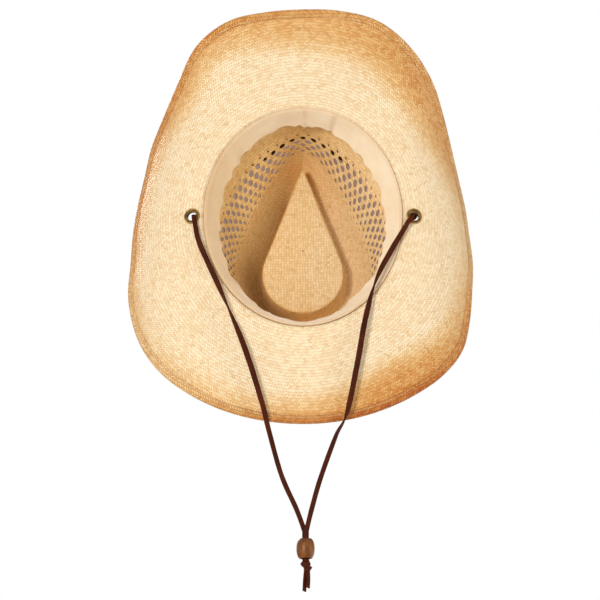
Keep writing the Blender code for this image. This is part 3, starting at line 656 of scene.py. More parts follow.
def wood_material():
    m = Nodes("bead_wood_grain")
    pos = m.position()
    turn, dist = m.uv("weave")
    split = m.tree.nodes.new("ShaderNodeSeparateXYZ")
    m.tree.links.new(pos, split.inputs[0])
    x = m.math("MULTIPLY", split.outputs[0], 260.0)
    y = m.math("MULTIPLY", split.outputs[1], 60.0)
    z = m.math("MULTIPLY", split.outputs[2], 260.0)
    grainv = m.node("ShaderNodeCombineXYZ", {0: x, 1: y, 2: z})
    grain = m.noise(grainv, 1.0, 5.0, 0.6)
    rings = m.math("SINE", m.math("MULTIPLY", grain, 26.0))
    pores = m.noise(grainv, 7.0, 2.0, 0.5)
    colour = m.mix(m.ramp(rings, -1.0, 1.0, 0.0, 0.6), rgb(104, 58, 18), rgb(142, 86, 28))
    colour = m.mix(m.ramp(grain, 0.50, 0.80, 0.0, 0.6), colour, rgb(176, 112, 40))
    colour = m.mix(m.ramp(pores, 0.60, 0.75, 0.0, 0.45), colour, rgb(66, 38, 20))
    # darker toward the end where the laces go in
    colour = m.mix(m.ramp(dist, 0.0015, 0.0095, 0.72, 0.0), colour, rgb(74, 44, 26))
    m.set(Base_Color=colour, Roughness=0.42, Normal=m.bump(m.math("ADD", pores, grain), 0.3, 0.0001))
    m.bsdf.inputs["Specular IOR Level"].default_value = 0.22
    m.bsdf.inputs["Coat Weight"].default_value = 0.04
    m.bsdf.inputs["Coat Roughness"].default_value = 0.2
    return m.mat


def thread_material(name, light, shade):
    m = Nodes(name)
    pos = m.position()
    turn, dist = m.uv("weave")
    twist = m.math("SINE", m.math("ADD", m.math("MULTIPLY", dist, 40.0), m.math("MULTIPLY", turn, 12.6)))
    blot = m.noise(pos, 300.0, 2.0)
    colour = m.mix(m.ramp(blot, 0.3, 0.7), light, shade)
    m.set(Base_Color=colour, Roughness=0.75, Normal=m.bump(twist, 0.4, 0.00008))
    return m.mat


def wire_material():
    m = Nodes("drawn_steel")
    pos = m.position()
    scratch = m.noise(pos, 700.0, 4.0, 0.7)
    m.set(Base_Color=m.mix(m.ramp(scratch, 0.3, 0.7), rgb(150, 150, 152), rgb(110, 108, 106)),
          Metallic=1.0, Roughness=m.ramp(scratch, 0.2, 0.8, 0.25, 0.5),
          Normal=m.bump(scratch, 0.2, 0.00005))
    return m.mat


def elastic_material():
    m = Nodes("ribbed_elastic")
    pos = m.position()
    split = m.tree.nodes.new("ShaderNodeSeparateXYZ")
    m.tree.links.new(pos, split.inputs[0])
    rib = m.math("SINE", m.math("MULTIPLY", split.outputs[2], 2 * math.pi / 0.0008))
    knit = m.noise(pos, 1400.0, 2.0)
    colour = m.mix(m.ramp(rib, -1.0, 0.4, 0.5, 0.0), rgb(234, 228, 214), rgb(190, 180, 160))
    m.set(Base_Color=colour, Roughness=0.85,
          Normal=m.bump(m.math("ADD", rib, knit), 0.5, 0.0002))
    return m.mat


STRAW_RING = straw_material("straw_ring_weave", True)
STRAW_GRID = straw_material("straw_plain_weave", False)
# the inside copies carry painted bounce light and painted shade
STRAW_RING_IN = straw_material("straw_ring_weave_inside", True, True)
STRAW_GRID_IN = straw_material("straw_plain_weave_inside", False, True)
# the same straw made darker: painted shade for the walls of the vents
STRAW_RIM_SHADE = thread_material("straw_rim_painted_shade", rgb(176, 132, 84), rgb(128, 88, 52))
CLOTH = cloth_material()
LACE = leather_material("lace_leather", rgb(56, 20, 7), rgb(78, 31, 11), rgb(102, 48, 22))
BAND = leather_material("band_leather", rgb(36, 20, 13), rgb(58, 34, 23), rgb(96, 62, 44), 0.8)
BRASS = brass_material()
WOOD = wood_material()
THREAD = thread_material("straw_thread", rgb(244, 216, 172), rgb(222, 186, 138))
HEM_THREAD = thread_material("hem_thread", rgb(228, 184, 128), rgb(192, 142, 88))
BAND_THREAD = thread_material("band_thread", rgb(150, 112, 74), rgb(110, 78, 50))
STEEL = wire_material()
ELASTIC = elastic_material()


def finish_piece(obj, body, mat, slot, *stands_for):
    if mat is not None:
        obj.data.materials.append(mat)
    if body:
        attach(obj, body)
    if stands_for:
        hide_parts(*stands_for)
    return obj


# ------------------------------------------------------------------ straw body
# edge amount, amount further in and width at stations round the brim: real toasting together with painted shade
# where the brim curls
TOAST_AND_SHADE = ((1.25, 0.92, 43), (1.0, 1.27, 50), (1.0, 1.12, 42), (0.45, 0.35, 38),
         (1.62, 0.78, 32), (2.4, 1.5, 38), (1.9, 0.72, 28), (0.75, 0.34, 24),
         (0.52, 0.36, 21), (1.2, 1.12, 32), (1.4, 1.02, 31), (1.55, 0.82, 32))


def toast_and_shade(phi, from_edge):
    """How much the brim is toasted at a distance in from its edge, with painted shade of the curled brim mixed
    into the amounts.
    """
    out = []
    for k in range(3):
        ring = [s[k] for s in TOAST_AND_SHADE]
        out.append(stations(ring[:7], [ring[0]] + ring[:5:-1], phi))
    edge, mid, width = out
    e = from_edge * 1000
    a = np.clip((e - 1.5) / 8.0, 0, 1)
    near = edge * (1 - a) + mid * a
    f = np.clip((e - 0.30 * width) / (0.85 * width), 0, 1)
    return near * (1 - f * f * (3 - 2 * f))


q, run, tangent = brim_curve(PHI)
length = run[-1]
out2 = outward(PHI)
edge_x, edge_z = q[-1, :, 0], q[-1, :, 1]
EDGE = place(PHI, edge_x, edge_z)
t3 = np.stack([out2[:, 0] * tangent[:, 0], out2[:, 1] * tangent[:, 0], tangent[:, 1]], -1)
along = np.roll(EDGE, -1, 0) - np.roll(EDGE, 1, 0)
EDGE_N = unit(np.cross(t3, along))
EDGE_T = unit(np.cross(along, EDGE_N))


def hem(t, n):
    return EDGE + EDGE_T * t + EDGE_N * n


rows, dist, tone, mats, turns = [], [], [], [], []


def add_row(points, d, tn, mat=0, tu=None, painted_fold_shade=0.0):
    rows.append(points)
    dist.append(np.broadcast_to(d, (N,)).copy())
    # painted light inside the crown: deeper rows get more of the warm painted bounce tint, less on the right side
    # and half on the dent floor, and the painted shade beside the dent is added on top
    deep = np.clip((points[:, 2] - 0.006) / 0.03, 0, 1) * np.broadcast_to(np.asarray(d) < 0, (N,))
    deep = deep * (1 - 0.4 * np.clip(np.sin(PHI) * 1.5, 0, 1))
    if mat == 1:
        deep = deep * 0.5
    deep = deep + painted_fold_shade
    tone.append([(float(v), float(w)) for v, w in zip(np.broadcast_to(tn, (N,)), deep)])
    mats.append(mat)
    turns.append(TURN if tu is None else tu)


for f in (1.0, 0.75, 0.5, 0.25):
    add_row(hem(-HEM_FLAP * f, -2 * HEM_R + (2 * HEM_R - HEM_DROP) * f ** 0.8),
            length + 0.0045 + HEM_FLAP * f, toast_and_shade(PHI, HEM_FLAP * f * np.ones(N)))
for a in (-90, -60, -30, 0, 30, 60):
    s, c = math.sin(math.radians(a)), math.cos(math.radians(a))
    add_row(hem(HEM_R * c, -HEM_R + HEM_R * s), length + HEM_R * math.radians(90 - a),
            toast_and_shade(PHI, np.zeros(N)) * 1.12)
ROWS_BRIM = 34
for k in range(ROWS_BRIM + 1):
    f = 1 - k / ROWS_BRIM
    want = 0.0036 + (length - 0.0036) * f
    x, z = at_length(q, run, want)
    fade = np.clip((1 - f) * 6, 0, 1) * np.clip(f * 3, 0, 1)
    # slow unevenness, faded out toward both ends of the profile
    p = place(PHI, x, z + ripple(PHI, f) * fade)
    add_row(p, want, toast_and_shade(PHI, length - want))
add_row(place(PHI, 0.0020 * np.ones(N), 0.0006 + 0 * PHI), 0.0012, 0.0)
add_row(place(PHI, 0.0008 * np.ones(N), 0.0019 + 0 * PHI), 0.0003, 0.0)
add_row(place(PHI, 0 * PHI, 0.0040 + 0 * PHI), -0.0015, 0.0)
for z in (0.007, 0.0105, 0.014, 0.018, 0.022, 0.026, 0.030, 0.034, 0.038, 0.0415):
    add_row(wall(PHI, z), -z + 0.0025, 0.0)

# the vented belt: columns and rows bend round each opening
vent_cells = {}
INNER = (-2, -1, 0, 1, 2)


def belt_row(z, cell=None, level=0.0, half=0, wide=1.0, tall=0.0022):
    """One row of the vented belt; inside a vent cell its points are pulled into a rounded shape."""
    tu = TURN.copy()
    z = z + 0.0032 * np.exp(-((((PHI + np.pi) % (2 * np.pi) - np.pi) / 0.75) ** 2)) * (
        np.clip((0.0757 - z) / 0.006, 0, 1) * np.clip((z - 0.040) / 0.004, 0, 1))
    zz = np.array(np.broadcast_to(z, (N,)))
    if cell is not None:
        shift = (PER_PITCH // 2) * (cell % 2)
        for k in range(N):
            i = (k - shift + PER_PITCH // 2) % PER_PITCH - PER_PITCH // 2
            if -half <= i <= half:
                a, b = i / half, level
                m = max(abs(a), abs(b))
                if m > 0:
                    ang = math.atan2(b, a)
                    c, s = math.cos(ang), math.sin(ang)
                    g = (abs(c) ** 2.1 + abs(s) ** 2.1) ** (-1 / 2.1)
                    h = math.sin(0.9 * k + 1.7 * cell) * 0.5 + math.sin(2.3 * k // PER_PITCH) * 0.3
                    col = (k - shift + 3) // PER_PITCH % (N // PER_PITCH)
                    size = 0.94 + 0.09 * math.sin(1.9 * col + 2.1 * cell) + 0.05 * math.sin(5.3 * col + 0.7 * cell)
                    a, b = c * g * m * size, s * g * m * size
                tu[k] = (k - i + a * half * wide + 0.28 * b) / N
                zz[k] = zz[k] - level * tall + b * tall
    phi = phi_of(tu)
    return wall(phi, zz), tu


BELT_FIRST = len(rows)
hole_rows = {}


def add_belt(z, cell=None, level=0.0, half=0, wide=1.0, tall=0.0022):
    p, tu = belt_row(z, cell, level, half, wide, tall)
    add_row(p, 0.0025 - p[:, 2], 0.0, 0, tu)


def small_row(zc, cell, tall):
    start = len(rows)
    for level in (-1.0, 0.0, 1.0):
        add_belt(zc + level * tall, cell, level, 1, 0.62, tall)
    for r in range(start, start + 2):
        hole_rows[r] = (cell, 1)


small_row(0.0447, 1, 0.0009)
cell = 0
for zc in VENT_Z:
    if cell == 0:
        add_belt(zc - 0.0027)
    start = len(rows)
    tall = (0.0022, 0.00232, 0.00232, 0.0021, 0.0016)[cell]
    broad = (0.80, 0.80, 0.78, 0.68, 0.52)[cell]
    for level in (-1.0, -0.5, 0.0, 0.5, 1.0):
        add_belt(zc + level * tall, cell, level, 2, broad, tall)
    for r in range(start, start + 4):
        hole_rows[r] = (cell, 2)
    cell += 1
add_belt(0.0712)
small_row(0.0732, 1, 0.0007)
add_row(wall(PHI, 0.0757), -0.0757 + 0.0025, 0.0)


def between(share, a, b):
    return loop_point(PHI, *a) * (1 - share) + loop_point(PHI, *b) * share


# weights for the painted shade beside the dent: full on the left, where the light falls short, weak on the right,
# less toward the rear
SIDE = np.clip(-np.sin(bearing(PHI)) * 4.5, -1, 1)
LEFTNESS = np.where(SIDE > 0, SIDE, 0.32 * SIDE) * (1 - 0.55 * np.clip(-np.cos(bearing(PHI)), 0, 1) ** 2)


def level_row(xy, z, d, mat=0, painted_fold_shade=0.0):
    # the last argument weights the painted shade beside the dent
    add_row(np.concatenate([xy, np.full((N, 1), z)], 1), d, 0.0, mat, None, painted_fold_shade * LEFTNESS)


# the shoulder rounds over from the wall to the crest beside the dent
CREST, DENT = (0.0405, 0.0234), (DENT_R, 0.0)
SHOULDER = ((0.06, 0.0790), (0.135, 0.0822), (0.225, 0.0855), (0.335, 0.0888), (0.455, 0.0919),
            (0.575, 0.0946), (0.69, 0.0967), (0.79, 0.0982), (0.88, 0.0992), (0.95, 0.0997), (1.0, 0.0999))
foot = wall(PHI, 0.0757)[:, :2]
d0, prev = -0.0732, (0.0, 0.0757)
for share, z in SHOULDER:
    d0 -= math.hypot((share - prev[0]) * 0.0185, z - prev[1])
    level_row(foot * (1 - share) + loop_point(PHI, *CREST) * share, z, d0, 0, min(1.0, share * 1.05) ** 1.3)
    prev = (share, z)
DROP = ((0.10, 0.0997), (0.22, 0.0990), (0.34, 0.0977), (0.45, 0.0958), (0.55, 0.0933), (0.63, 0.0905),
        (0.70, 0.0875), (0.76, 0.0845), (0.82, 0.0815), (0.88, 0.0788), (0.94, 0.0766), (1.0, 0.0755))
prev = (0.0, 0.0999)
for share, z in DROP:
    d0 -= math.hypot((share - prev[0]) * 0.005, z - prev[1])
    level_row(between(share, CREST, DENT), z, d0, 0, 1.0 - 0.9 * share ** 2.6)
    prev = (share, z)
first_floor = len(rows)
floor_rim = rows[-1]
centre = np.array((0.0, DENT_Y, DENT_Z))
for f in (0.955, 0.88, 0.78, 0.66, 0.54, 0.42, 0.30, 0.18, 0.08):
    p = centre + (floor_rim - centre) * f
    p[:, 2] = DENT_Z - 0.0005 * (1 - f)
    add_row(p, d0 - 0.01 * (1 - f), 0.0, 1)
mats = mats[: first_floor - 1] + [1] * (len(rows) - first_floor + 1)


def is_hole(r, c):
    if r not in hole_rows:
        return False
    cell, half = hole_rows[r]
    shift = (PER_PITCH // 2) * (cell % 2)
    i = (c - shift + PER_PITCH // 2) % PER_PITCH - PER_PITCH // 2
    return -half <= i < half


straw = grid("straw_body_woven", rows, turns, dist, tone, True, is_hole, mats,
             centre - np.array((0, 0, 0.0005)))
thicken(straw, 0.00092)
straw.modifiers["thickness"].material_offset = 2
# the rim faces take the darker straw: painted shade on the walls of the vents
straw.modifiers["thickness"].material_offset_rim = 4
# punch the two eyelet holes with a clean cutter, then bake
PAD_IN, PAD_OUT = 0.0040, 0.0178
eyelet_frames = {}
for side, label in ((-1, "left"), (1, "right")):
    phi = np.array([side * math.pi / 2])
    qq, rr, _ = brim_curve(phi, 600)
    zi = np.interp(PAD_IN, qq[:, 0, 0], qq[:, 0, 1])
    zo = np.interp(PAD_OUT, qq[:, 0, 0], qq[:, 0, 1])
    off = 0.0963 - OPEN_A
    zc = float(np.interp(off, qq[:, 0, 0], qq[:, 0, 1]))
    slope = math.atan2(zo - zi, PAD_OUT - PAD_IN)
    eyelet_frames[label] = (Matrix.Translation((side * 0.0963, 0.0, zc))
                            @ Matrix.Rotation(-side * slope, 4, "Y"))
    bpy.ops.mesh.primitive_cylinder_add(vertices=48, radius=0.0053, depth=0.010)
    cutter = bpy.context.object
    cutter.matrix_world = Matrix.Translation(-Vector(ORIGIN)) @ eyelet_frames[label]
    cut = straw.modifiers.new(label, "BOOLEAN")
    cut.operation = "DIFFERENCE"
    cut.solver = "EXACT"
    cut.object = cutter
    cutter.name = "cutter_" + label
for mat in (STRAW_RING, STRAW_GRID, STRAW_RING_IN, STRAW_GRID_IN, STRAW_RIM_SHADE, STRAW_RIM_SHADE):
    straw.data.materials.append(mat)
bpy.context.view_layer.update()
apply_modifiers(straw)
for label in ("left", "right"):
    bpy.data.objects.remove(bpy.data.objects["cutter_" + label])
# the hem's raw edge is the same straw; only the vent rims keep the darker straw, painted shade on the walls of the
# holes
for face in straw.data.polygons:
    if face.material_index > 3 and math.hypot(face.center.x / 0.112, (face.center.y + ORIGIN[1]) / 0.126) > 1:
        face.material_index = 0
finish_piece(straw, "hat", None, "straw", "straw_body")

# thread along the hem
inner = 0.74
hem_path = hem(-inner * HEM_FLAP, -2 * HEM_R + (2 * HEM_R - HEM_DROP) * inner ** 0.8 - STRAW_T * 0.46 - 0.00012)
centroid = EDGE.mean(0)


def hem_down(c):
    k = int(np.argmin(((EDGE - c) ** 2).sum(-1)))
    return EDGE_N[k]


finish_piece(stitches("hem_stitches", hem_path, 330, 0.0028, 0.00032, 1.4, hem_down),
             "hat", HEM_THREAD, "thread", "hem_stitching")

# ------------------------------------------------------------------ sweatband
BAND_OUT = -0.0011
BAND_LEAN = 0.0094
BAND_H = 0.0200
HEM_T = 0.0024
SCALLOPS = 26


def angle_gap(phi, at):
    return (phi - at + np.pi) % (2 * np.pi) - np.pi


def band_shape(share):
    """Middle surface of the sweatband at a share of its height, with its waves."""
    wave = np.abs(np.sin(np.pi * (TURN * SCALLOPS + 0.20 * np.sin(7 * PHI) + 0.5)))
    cusp = 1 - wave ** 0.8
    high = BAND_H * (1 + 0.03 * np.sin(3 * PHI)) - 0.0022 * (1 - cusp)
    lean = BAND_LEAN * (1 + 0.05 * np.sin(4 * PHI + 1)) + 0.0021 * cusp - 0.0008
    # loose bulge behind the right side and the two creases at the front
    bulge = np.exp(-((angle_gap(PHI, math.radians(142)) / 0.17) ** 2))
    lean = lean + 0.0016 * bulge
    seam = np.exp(-((angle_gap(PHI, math.radians(0.6)) / 0.035) ** 2))
    crease = np.exp(-((angle_gap(PHI, math.radians(19.5)) / 0.04) ** 2))
    crease2 = np.exp(-((angle_gap(PHI, math.radians(-52)) / 0.045) ** 2)) * 0.5
    lean = lean * (1 - 0.52 * np.exp(-((angle_gap(PHI, math.radians(-6)) / 0.55) ** 2)))
    lean = lean * (1 + 0.22 * np.exp(-((angle_gap(PHI, math.radians(58)) / 0.5) ** 2)))
    lean = lean * (1 - 0.40 * np.exp(-((angle_gap(PHI, math.radians(186)) / 0.62) ** 2)))
    lean = lean + 0.0013 * bulge
    s = share
    z = -0.0006 + (high + 0.0006) * s
    # the foot rolls out a little under the brim break
    lip = np.clip(1 - s / 0.05, 0, 1)
    z = z - 0.0006 * lip
    off = -0.00112 + 0.0019 * lip ** 2 - (lean + 0.0017) * s ** 1.08
    off = off - 0.0024 * seam * s ** 0.5 * np.sin(angle_gap(PHI, math.radians(0.6)) / 0.03 + 1.2)
    off = off + 0.0026 * crease * s - 0.0018 * crease2 * s
    off = off + 0.00035 * np.sin(SCALLOPS * 2 * np.pi * TURN * 0.5 + 5 * s) * s
    return place(PHI, off, z)


band_rows, band_dist = [], []
shares = [0.0, 0.012, 0.025, 0.05, 0.08, 0.12, 0.2, 0.3, 0.4, 0.5, 0.6, 0.7, 0.8, 0.88, 0.94, 1.0]
for s in shares:
    band_rows.append(band_shape(s))
    band_dist.append(np.full(N, s * 0.0225))
zero = [[(0.0, 0.0)] * N for _ in shares]
band = grid("sweatband_cloth_band", band_rows, [TURN] * len(shares), band_dist, zero)
thicken(band, 0.0010)
apply_modifiers(band)
soften = band.modifiers.new("round", "BEVEL")
soften.width = 0.00022
soften.segments = 2
soften.limit_method = "ANGLE"
soften.angle_limit = math.radians(50)
apply_modifiers(band)
finish_piece(band, "hat", CLOTH, "sweatband_cloth", "sweatband")

# the elastic lies against the back of the sweatband
strip = []
for s in (0.66, 0.72, 0.78, 0.84, 0.90):
    middle = band_shape(s)
    strip.append(middle + np.concatenate([outward(PHI), np.zeros((N, 1))], 1) * 0.00105)
elastic = grid("sweatband_elastic_strip", strip, [TURN] * 5, [np.full(N, 0.001 * k) for k in range(5)],
               [[(0.0, 0.0)] * N for _ in range(5)])
thicken(elastic, 0.0008)
apply_modifiers(elastic)
finish_piece(elastic, "hat", ELASTIC, "elastic", "sweatband_elastic")

foot_thread = place(PHI, 0.0000 * np.ones(N), -0.00175 + 0 * PHI)


def inward(c):
    return np.array((0.0, 0.0, 1.0))


finish_piece(stitches("sweatband_stitches", foot_thread, 210, 0.0020, 0.00020, 1.2, inward),
             "hat", THREAD, "thread", "sweatband_stitching")

# ------------------------------------------------------------------ hat band
HAT_LIFT = STRAW_T / 2 + 0.0006 + 0.0007


def band_top(phi):
    turn = np.abs((phi + np.pi) % (2 * np.pi) - np.pi)
    bump = np.exp(-((turn / 0.86) ** 2.4))
    return 0.0370 + 0.0198 * bump


hb_rows, hb_dist = [], []
steps = 16
for k in range(steps + 1):
    f = k / steps
    z = 0.0085 * (1 - f) + band_top(PHI) * f
    crown = 0.0004 * (1 - (2 * f - 1) ** 6)
    hb_rows.append(on_wall(PHI, z, HAT_LIFT + crown - 0.0002))
    hb_dist.append(z)
hb = grid("hat_band_leather", hb_rows, [TURN] * (steps + 1), hb_dist,
          [[(0.0, 0.0)] * N for _ in range(steps + 1)])
thicken(hb, 0.0013)
hb = apply_modifiers(hb)
edge_round = hb.modifiers.new("round", "BEVEL")
edge_round.width = 0.0003
edge_round.segments = 2
edge_round.limit_method = "ANGLE"
edge_round.angle_limit = math.radians(50)
apply_modifiers(hb)
finish_piece(hb, "hat", BAND, "band_leather", "hat_band")


def wall_inward(c):
    k = int(np.argmin(((wall(PHI, c[2] * np.ones(N)) - c) ** 2).sum(-1)))
    return -wall_normal(PHI[k:k + 1], np.array([c[2]]))[0]


for name, f in (("lower", 0.075), ("upper", 0.925)):
    z = 0.0085 * (1 - f) + band_top(PHI) * f
    crown = 0.0004 * (1 - (2 * f - 1) ** 6)
    path = on_wall(PHI, z, HAT_LIFT + crown - 0.0002 + 0.00065 + 0.00010)
    finish_piece(stitches("hat_band_stitches_" + name, path, 190, 0.0021, 0.00024, 1.4, wall_inward),
                 "hat", BAND_THREAD, "thread")

TAB_LIFT = HAT_LIFT + 0.0007 + 0.0005 + 0.0006
tab_turn = np.linspace(43.6 / 64, 48.4 / 64, 22)
tab_phi = phi_of(tab_turn)
tab_rows = []
for k in range(11):
    f = k / 10
    point = 1 - np.clip((tab_turn - 47.0 / 64) / (1.4 / 64), 0, 1) ** 2 * 0.55
    mid = 0.0220
    z = mid + (f - 0.5) * 0.0230 * point
    tab_rows.append(on_wall(tab_phi, z, TAB_LIFT + 0.0002 * np.sin(np.pi * f) + 0 * z))
tab = grid("hat_band_tab_leather", tab_rows, [tab_turn] * 11, [np.full(22, k * 0.0023) for k in range(11)],
           [[(0.0, 0.0)] * 22 for _ in range(11)], closed=False)
thicken(tab, 0.0012)
apply_modifiers(tab)
tab_round = tab.modifiers.new("round", "BEVEL")
tab_round.width = 0.0003
tab_round.segments = 2
tab_round.limit_method = "ANGLE"
tab_round.angle_limit = math.radians(50)
apply_modifiers(tab)
finish_piece(tab, "hat", BAND, "band_leather", "hat_band_tab")
for turn, label in ((45 / 64, "front"), (47 / 64, "rear")):
    phi = phi_of(np.array([turn]))
    base = on_wall(phi, 0.021, TAB_LIFT + 0.0006 + 0.0004)[0]
    normal = Vector(wall_normal(phi, np.array([0.021]))[0])
    spin = Matrix.Translation(base) @ normal.to_track_quat("Z", "Y").to_matrix().to_4x4()
    a = np.linspace(0, math.pi / 2, 9)
    prof = [(0.0030 * math.sin(t) if t else 0.00001, 0.0003 + 0.0013 * math.cos(t)) for t in a]
    prof += [(0.0031, 0.0002), (0.0030, 0.0), (0.00001, 0.0)]
    finish_piece(lathe("hat_band_stud_" + label, prof, 40, spin, closed=False), "hat", BRASS,
                 "brass", "hat_band_rivet_" + label)

# ------------------------------------------------------------------ eyelets
EYELET_PROFILE = (
    (0.00405, 0.0020), (0.00425, 0.0024), (0.0047, 0.0026), (0.0053, 0.0025), (0.0058, 0.0021),
    (0.0060, 0.0016), (0.0058, 0.0014), (0.0052, 0.0013), (0.0050, 0.0010), (0.0050, -0.0009),
    (0.0066, -0.0009), (0.0069, -0.0011), (0.0070, -0.0014), (0.0068, -0.0018), (0.0063, -0.0021),
    (0.0058, -0.0021), (0.0054, -0.0018), (0.0051, -0.0015), (0.0049, -0.0016), (0.0046, -0.0019),
    (0.0043, -0.0019), (0.0041, -0.0016), (0.0040, -0.0011), (0.0040, 0.0010))
WASHER_PROFILE = (
    (0.0053, 0.0013), (0.0060, 0.00135), (0.0066, 0.0012), (0.0069, 0.0010), (0.0069, 0.0009), (0.0053, 0.0009))
for label in ("left", "right"):
    finish_piece(lathe(label + "_eyelet_rolled", EYELET_PROFILE, 64, eyelet_frames[label]), "hat",
                 BRASS, "brass", label + "_eyelet")
    finish_piece(lathe(label + "_eyelet_ring", WASHER_PROFILE, 64, eyelet_frames[label]), "hat",
                 BRASS, "brass", label + "_eyelet_washer")

# ------------------------------------------------------------------ laces
LACE_W, LACE_T = 0.0042, 0.0015
PIVOT_Z = -0.0036
LACE_X = 0.0946
SECTION = strap_section(LACE_W, LACE_T)

phis = np.radians(104 + (256 - 104) * np.arange(61) / 60)
qq, rr, _ = brim_curve(phis, 400)
lace_path, lace_wide = [], []
for k, p in enumerate(phis):
    off = 0.0064 + 0.0003 * math.sin(9 * p)
    z = float(np.interp(off, qq[:, k, 0], qq[:, k, 1]))
    z2 = float(np.interp(off + 0.001, qq[:, k, 0], qq[:, k, 1]))
    tx, tz = unit((0.001, z2 - z))
    o = outward(np.array([p]))[0]
    base = place(np.array([p]), np.array([off]), z)[0]
    up = np.array((-o[0] * tz, -o[1] * tz, tx))
    lace_path.append(base + up * (STRAW_T / 2 + 0.0006 + LACE_T / 2))
    lace_wide.append(np.array((o[0] * tx, o[1] * tx, tz)))
ends = {}
for side in (1, -1):
    ends[side] = [np.array((side * LACE_X, 0.0, 0.0010)), np.array((side * LACE_X, 0.0, 0.0030)),
                  np.array((side * LACE_X, 0.0007, 0.0050)), np.array((side * (LACE_X - 0.0002), 0.0026, 0.0061)),
                  np.array((side * (LACE_X - 0.0008), 0.0062, 0.0063)), np.array((side * (LACE_X - 0.0019), 0.0110, 0.0052))]
path = ends[1] + lace_path + ends[-1][::-1]
wide = [np.array((1.0, 0, 0))] * 6 + lace_wide + [np.array((-1.0, 0, 0))] * 6
for k in range(1, len(wide)):
    if np.dot(wide[k], wide[k - 1]) < 0:
        wide[k] = -wide[k]
fine = catmull(path, 3)
fine_wide = unit(np.stack([np.interp(np.linspace(0, len(wide) - 1, len(fine)), np.arange(len(wide)),
                                     np.array(wide)[:, i]) for i in range(3)], -1))
finish_piece(sweep("crown_lace_leather", fine, fine_wide, SECTION, wobble=0.02), "hat", LACE,
             "lace_leather", "crown_lace")

BEAD = np.array((0.0020, 0.2969, -0.0058))
BEAD_L = 0.0170
AXIS = unit((0.0, 1.0, 0.06))
ACROSS = np.array((1.0, 0.0, 0.0))
UPRIGHT = np.cross(ACROSS, AXIS)
OVER = LACE_T / 2 + 0.00015 + 0.0001
ASIDE = 0.00075
bore_in = BEAD - AXIS * (BEAD_L / 2 + 0.0065)
STRANDS = {
    "left": ((-0.0946, 0.0000, PIVOT_Z), (-0.0930, 0.0120, -0.0042), (-0.0887, 0.0290, -0.0052),
             (-0.0721, 0.0675, -0.0074), (-0.0509, 0.1197, -0.0102), (-0.0349, 0.1716, -0.0123),
             (-0.0289, 0.1965, -0.0127), (-0.0182, 0.2353, -0.0122), (-0.0055, 0.2640, -0.0090)),
    "right": ((0.0946, 0.0000, PIVOT_Z), (0.0873, 0.0140, -0.0042), (0.0768, 0.0325, -0.0054),
              (0.0632, 0.0603, -0.0070), (0.0534, 0.0961, -0.0089), (0.0467, 0.1341, -0.0107),
              (0.0370, 0.1814, -0.0125), (0.0276, 0.2015, -0.0127), (0.0146, 0.2379, -0.0121),
              (0.0072, 0.2640, -0.0104)),
}
STRAND_TURNS = {
    "left": ((0.0, 0), (0.050, 0), (0.072, 60), (0.096, 120), (0.122, 180), (0.4, 180)),
    "right": ((0.0, 0), (0.040, 0), (0.056, 50), (0.080, 130), (0.096, 180), (0.172, 180),
              (0.187, 270), (0.205, 315), (0.227, 360), (0.4, 360)),
}


def turned_widths(path, turns):
    run = unit(np.gradient(path, axis=0))
    flat = unit(np.stack([run[:, 1], -run[:, 0], 0 * run[:, 0]], -1))
    ang = np.interp(path[:, 1], [t[0] for t in turns], np.radians([t[1] for t in turns]))
    k = np.array([0.25, 0.5, 0.25])
    for _ in range(6):
        ang = np.concatenate([[ang[0]], np.convolve(ang, k, "valid"), [ang[-1]]])
    out = []
    for r, f, a in zip(run, flat, ang):
        out.append(np.array(Matrix.Rotation(a, 3, Vector(r)) @ Vector(f)))
    return np.array(out)


for side, label in ((-1, "left"), (1, "right")):
    shift = ACROSS * side * ASIDE - UPRIGHT * side * OVER
    path = catmull(list(STRANDS[label]) + [bore_in + shift], 10)
    wide = turned_widths(path, STRAND_TURNS[label])
    tail = np.array([bore_in + shift + AXIS * d for d in (0.003, 0.006, 0.0085, 0.0105)])
    sign = 1 if wide[-1] @ ACROSS > 0 else -1
    path = np.concatenate([path, tail])
    wide = np.concatenate([wide, [ACROSS * sign] * len(tail)])
    keep = path[:, 1] > 0.0085
    fuller = 1 + 0.15 * np.clip((path[keep][:, 1] - 0.010) / 0.02, 0, 1) * np.clip((0.20 - path[keep][:, 1]) / 0.05, 0, 1)
    strand = sweep(label + "_lace_strand", path[keep], wide[keep], SECTION * 0.99, scale=fuller, wobble=0.025)
    strand.data.materials.append(LACE)
    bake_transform(strand)
    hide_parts(label + "_chin_lace")
    # the short length that bends through the eyelet
    x = side * LACE_X
    bend = catmull([(x, 0.0, 0.0024), (x, 0.0, 0.0006), (x, 0.0002, -0.0014), (x, 0.0018, -0.0031),
                    tuple(path[4] * 0.5 + np.array((x, 0.0045, -0.0036)) * 0.5)], 6)
    bend = np.concatenate([bend, path[(path[:, 1] > bend[-1, 1] + 0.001) & (path[:, 1] < 0.013)]])
    wide_b = np.tile(ACROSS, (len(bend), 1))
    wide_b[-3:] = wide[3:6] if side > 0 else wide[3:6]
    short = sweep(label + "_lace_bend", bend, wide_b, SECTION, wobble=0.02)
    short.data.materials.append(LACE)
    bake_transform(short)
    # inside and below the bead: from the knot up through the bore
    top = BEAD - AXIS * (BEAD_L / 2 - 0.0012) + shift
    bottom = BEAD + AXIS * (BEAD_L / 2 + 0.0030) + shift * 0.9
    path = np.linspace(bottom, top, 26)
    core = sweep(label + "_lace_core", path, np.tile(ACROSS, (26, 1)), SECTION * 0.94)
    core.data.materials.append(LACE)
    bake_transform(core)

# stopper knot: the lace wrapped on the slant round the pair, and its two cut ends
bore_out = BEAD + AXIS * (BEAD_L / 2 + 0.0006)
KNOT = bore_out + AXIS * 0.0049 + ACROSS * 0.0012


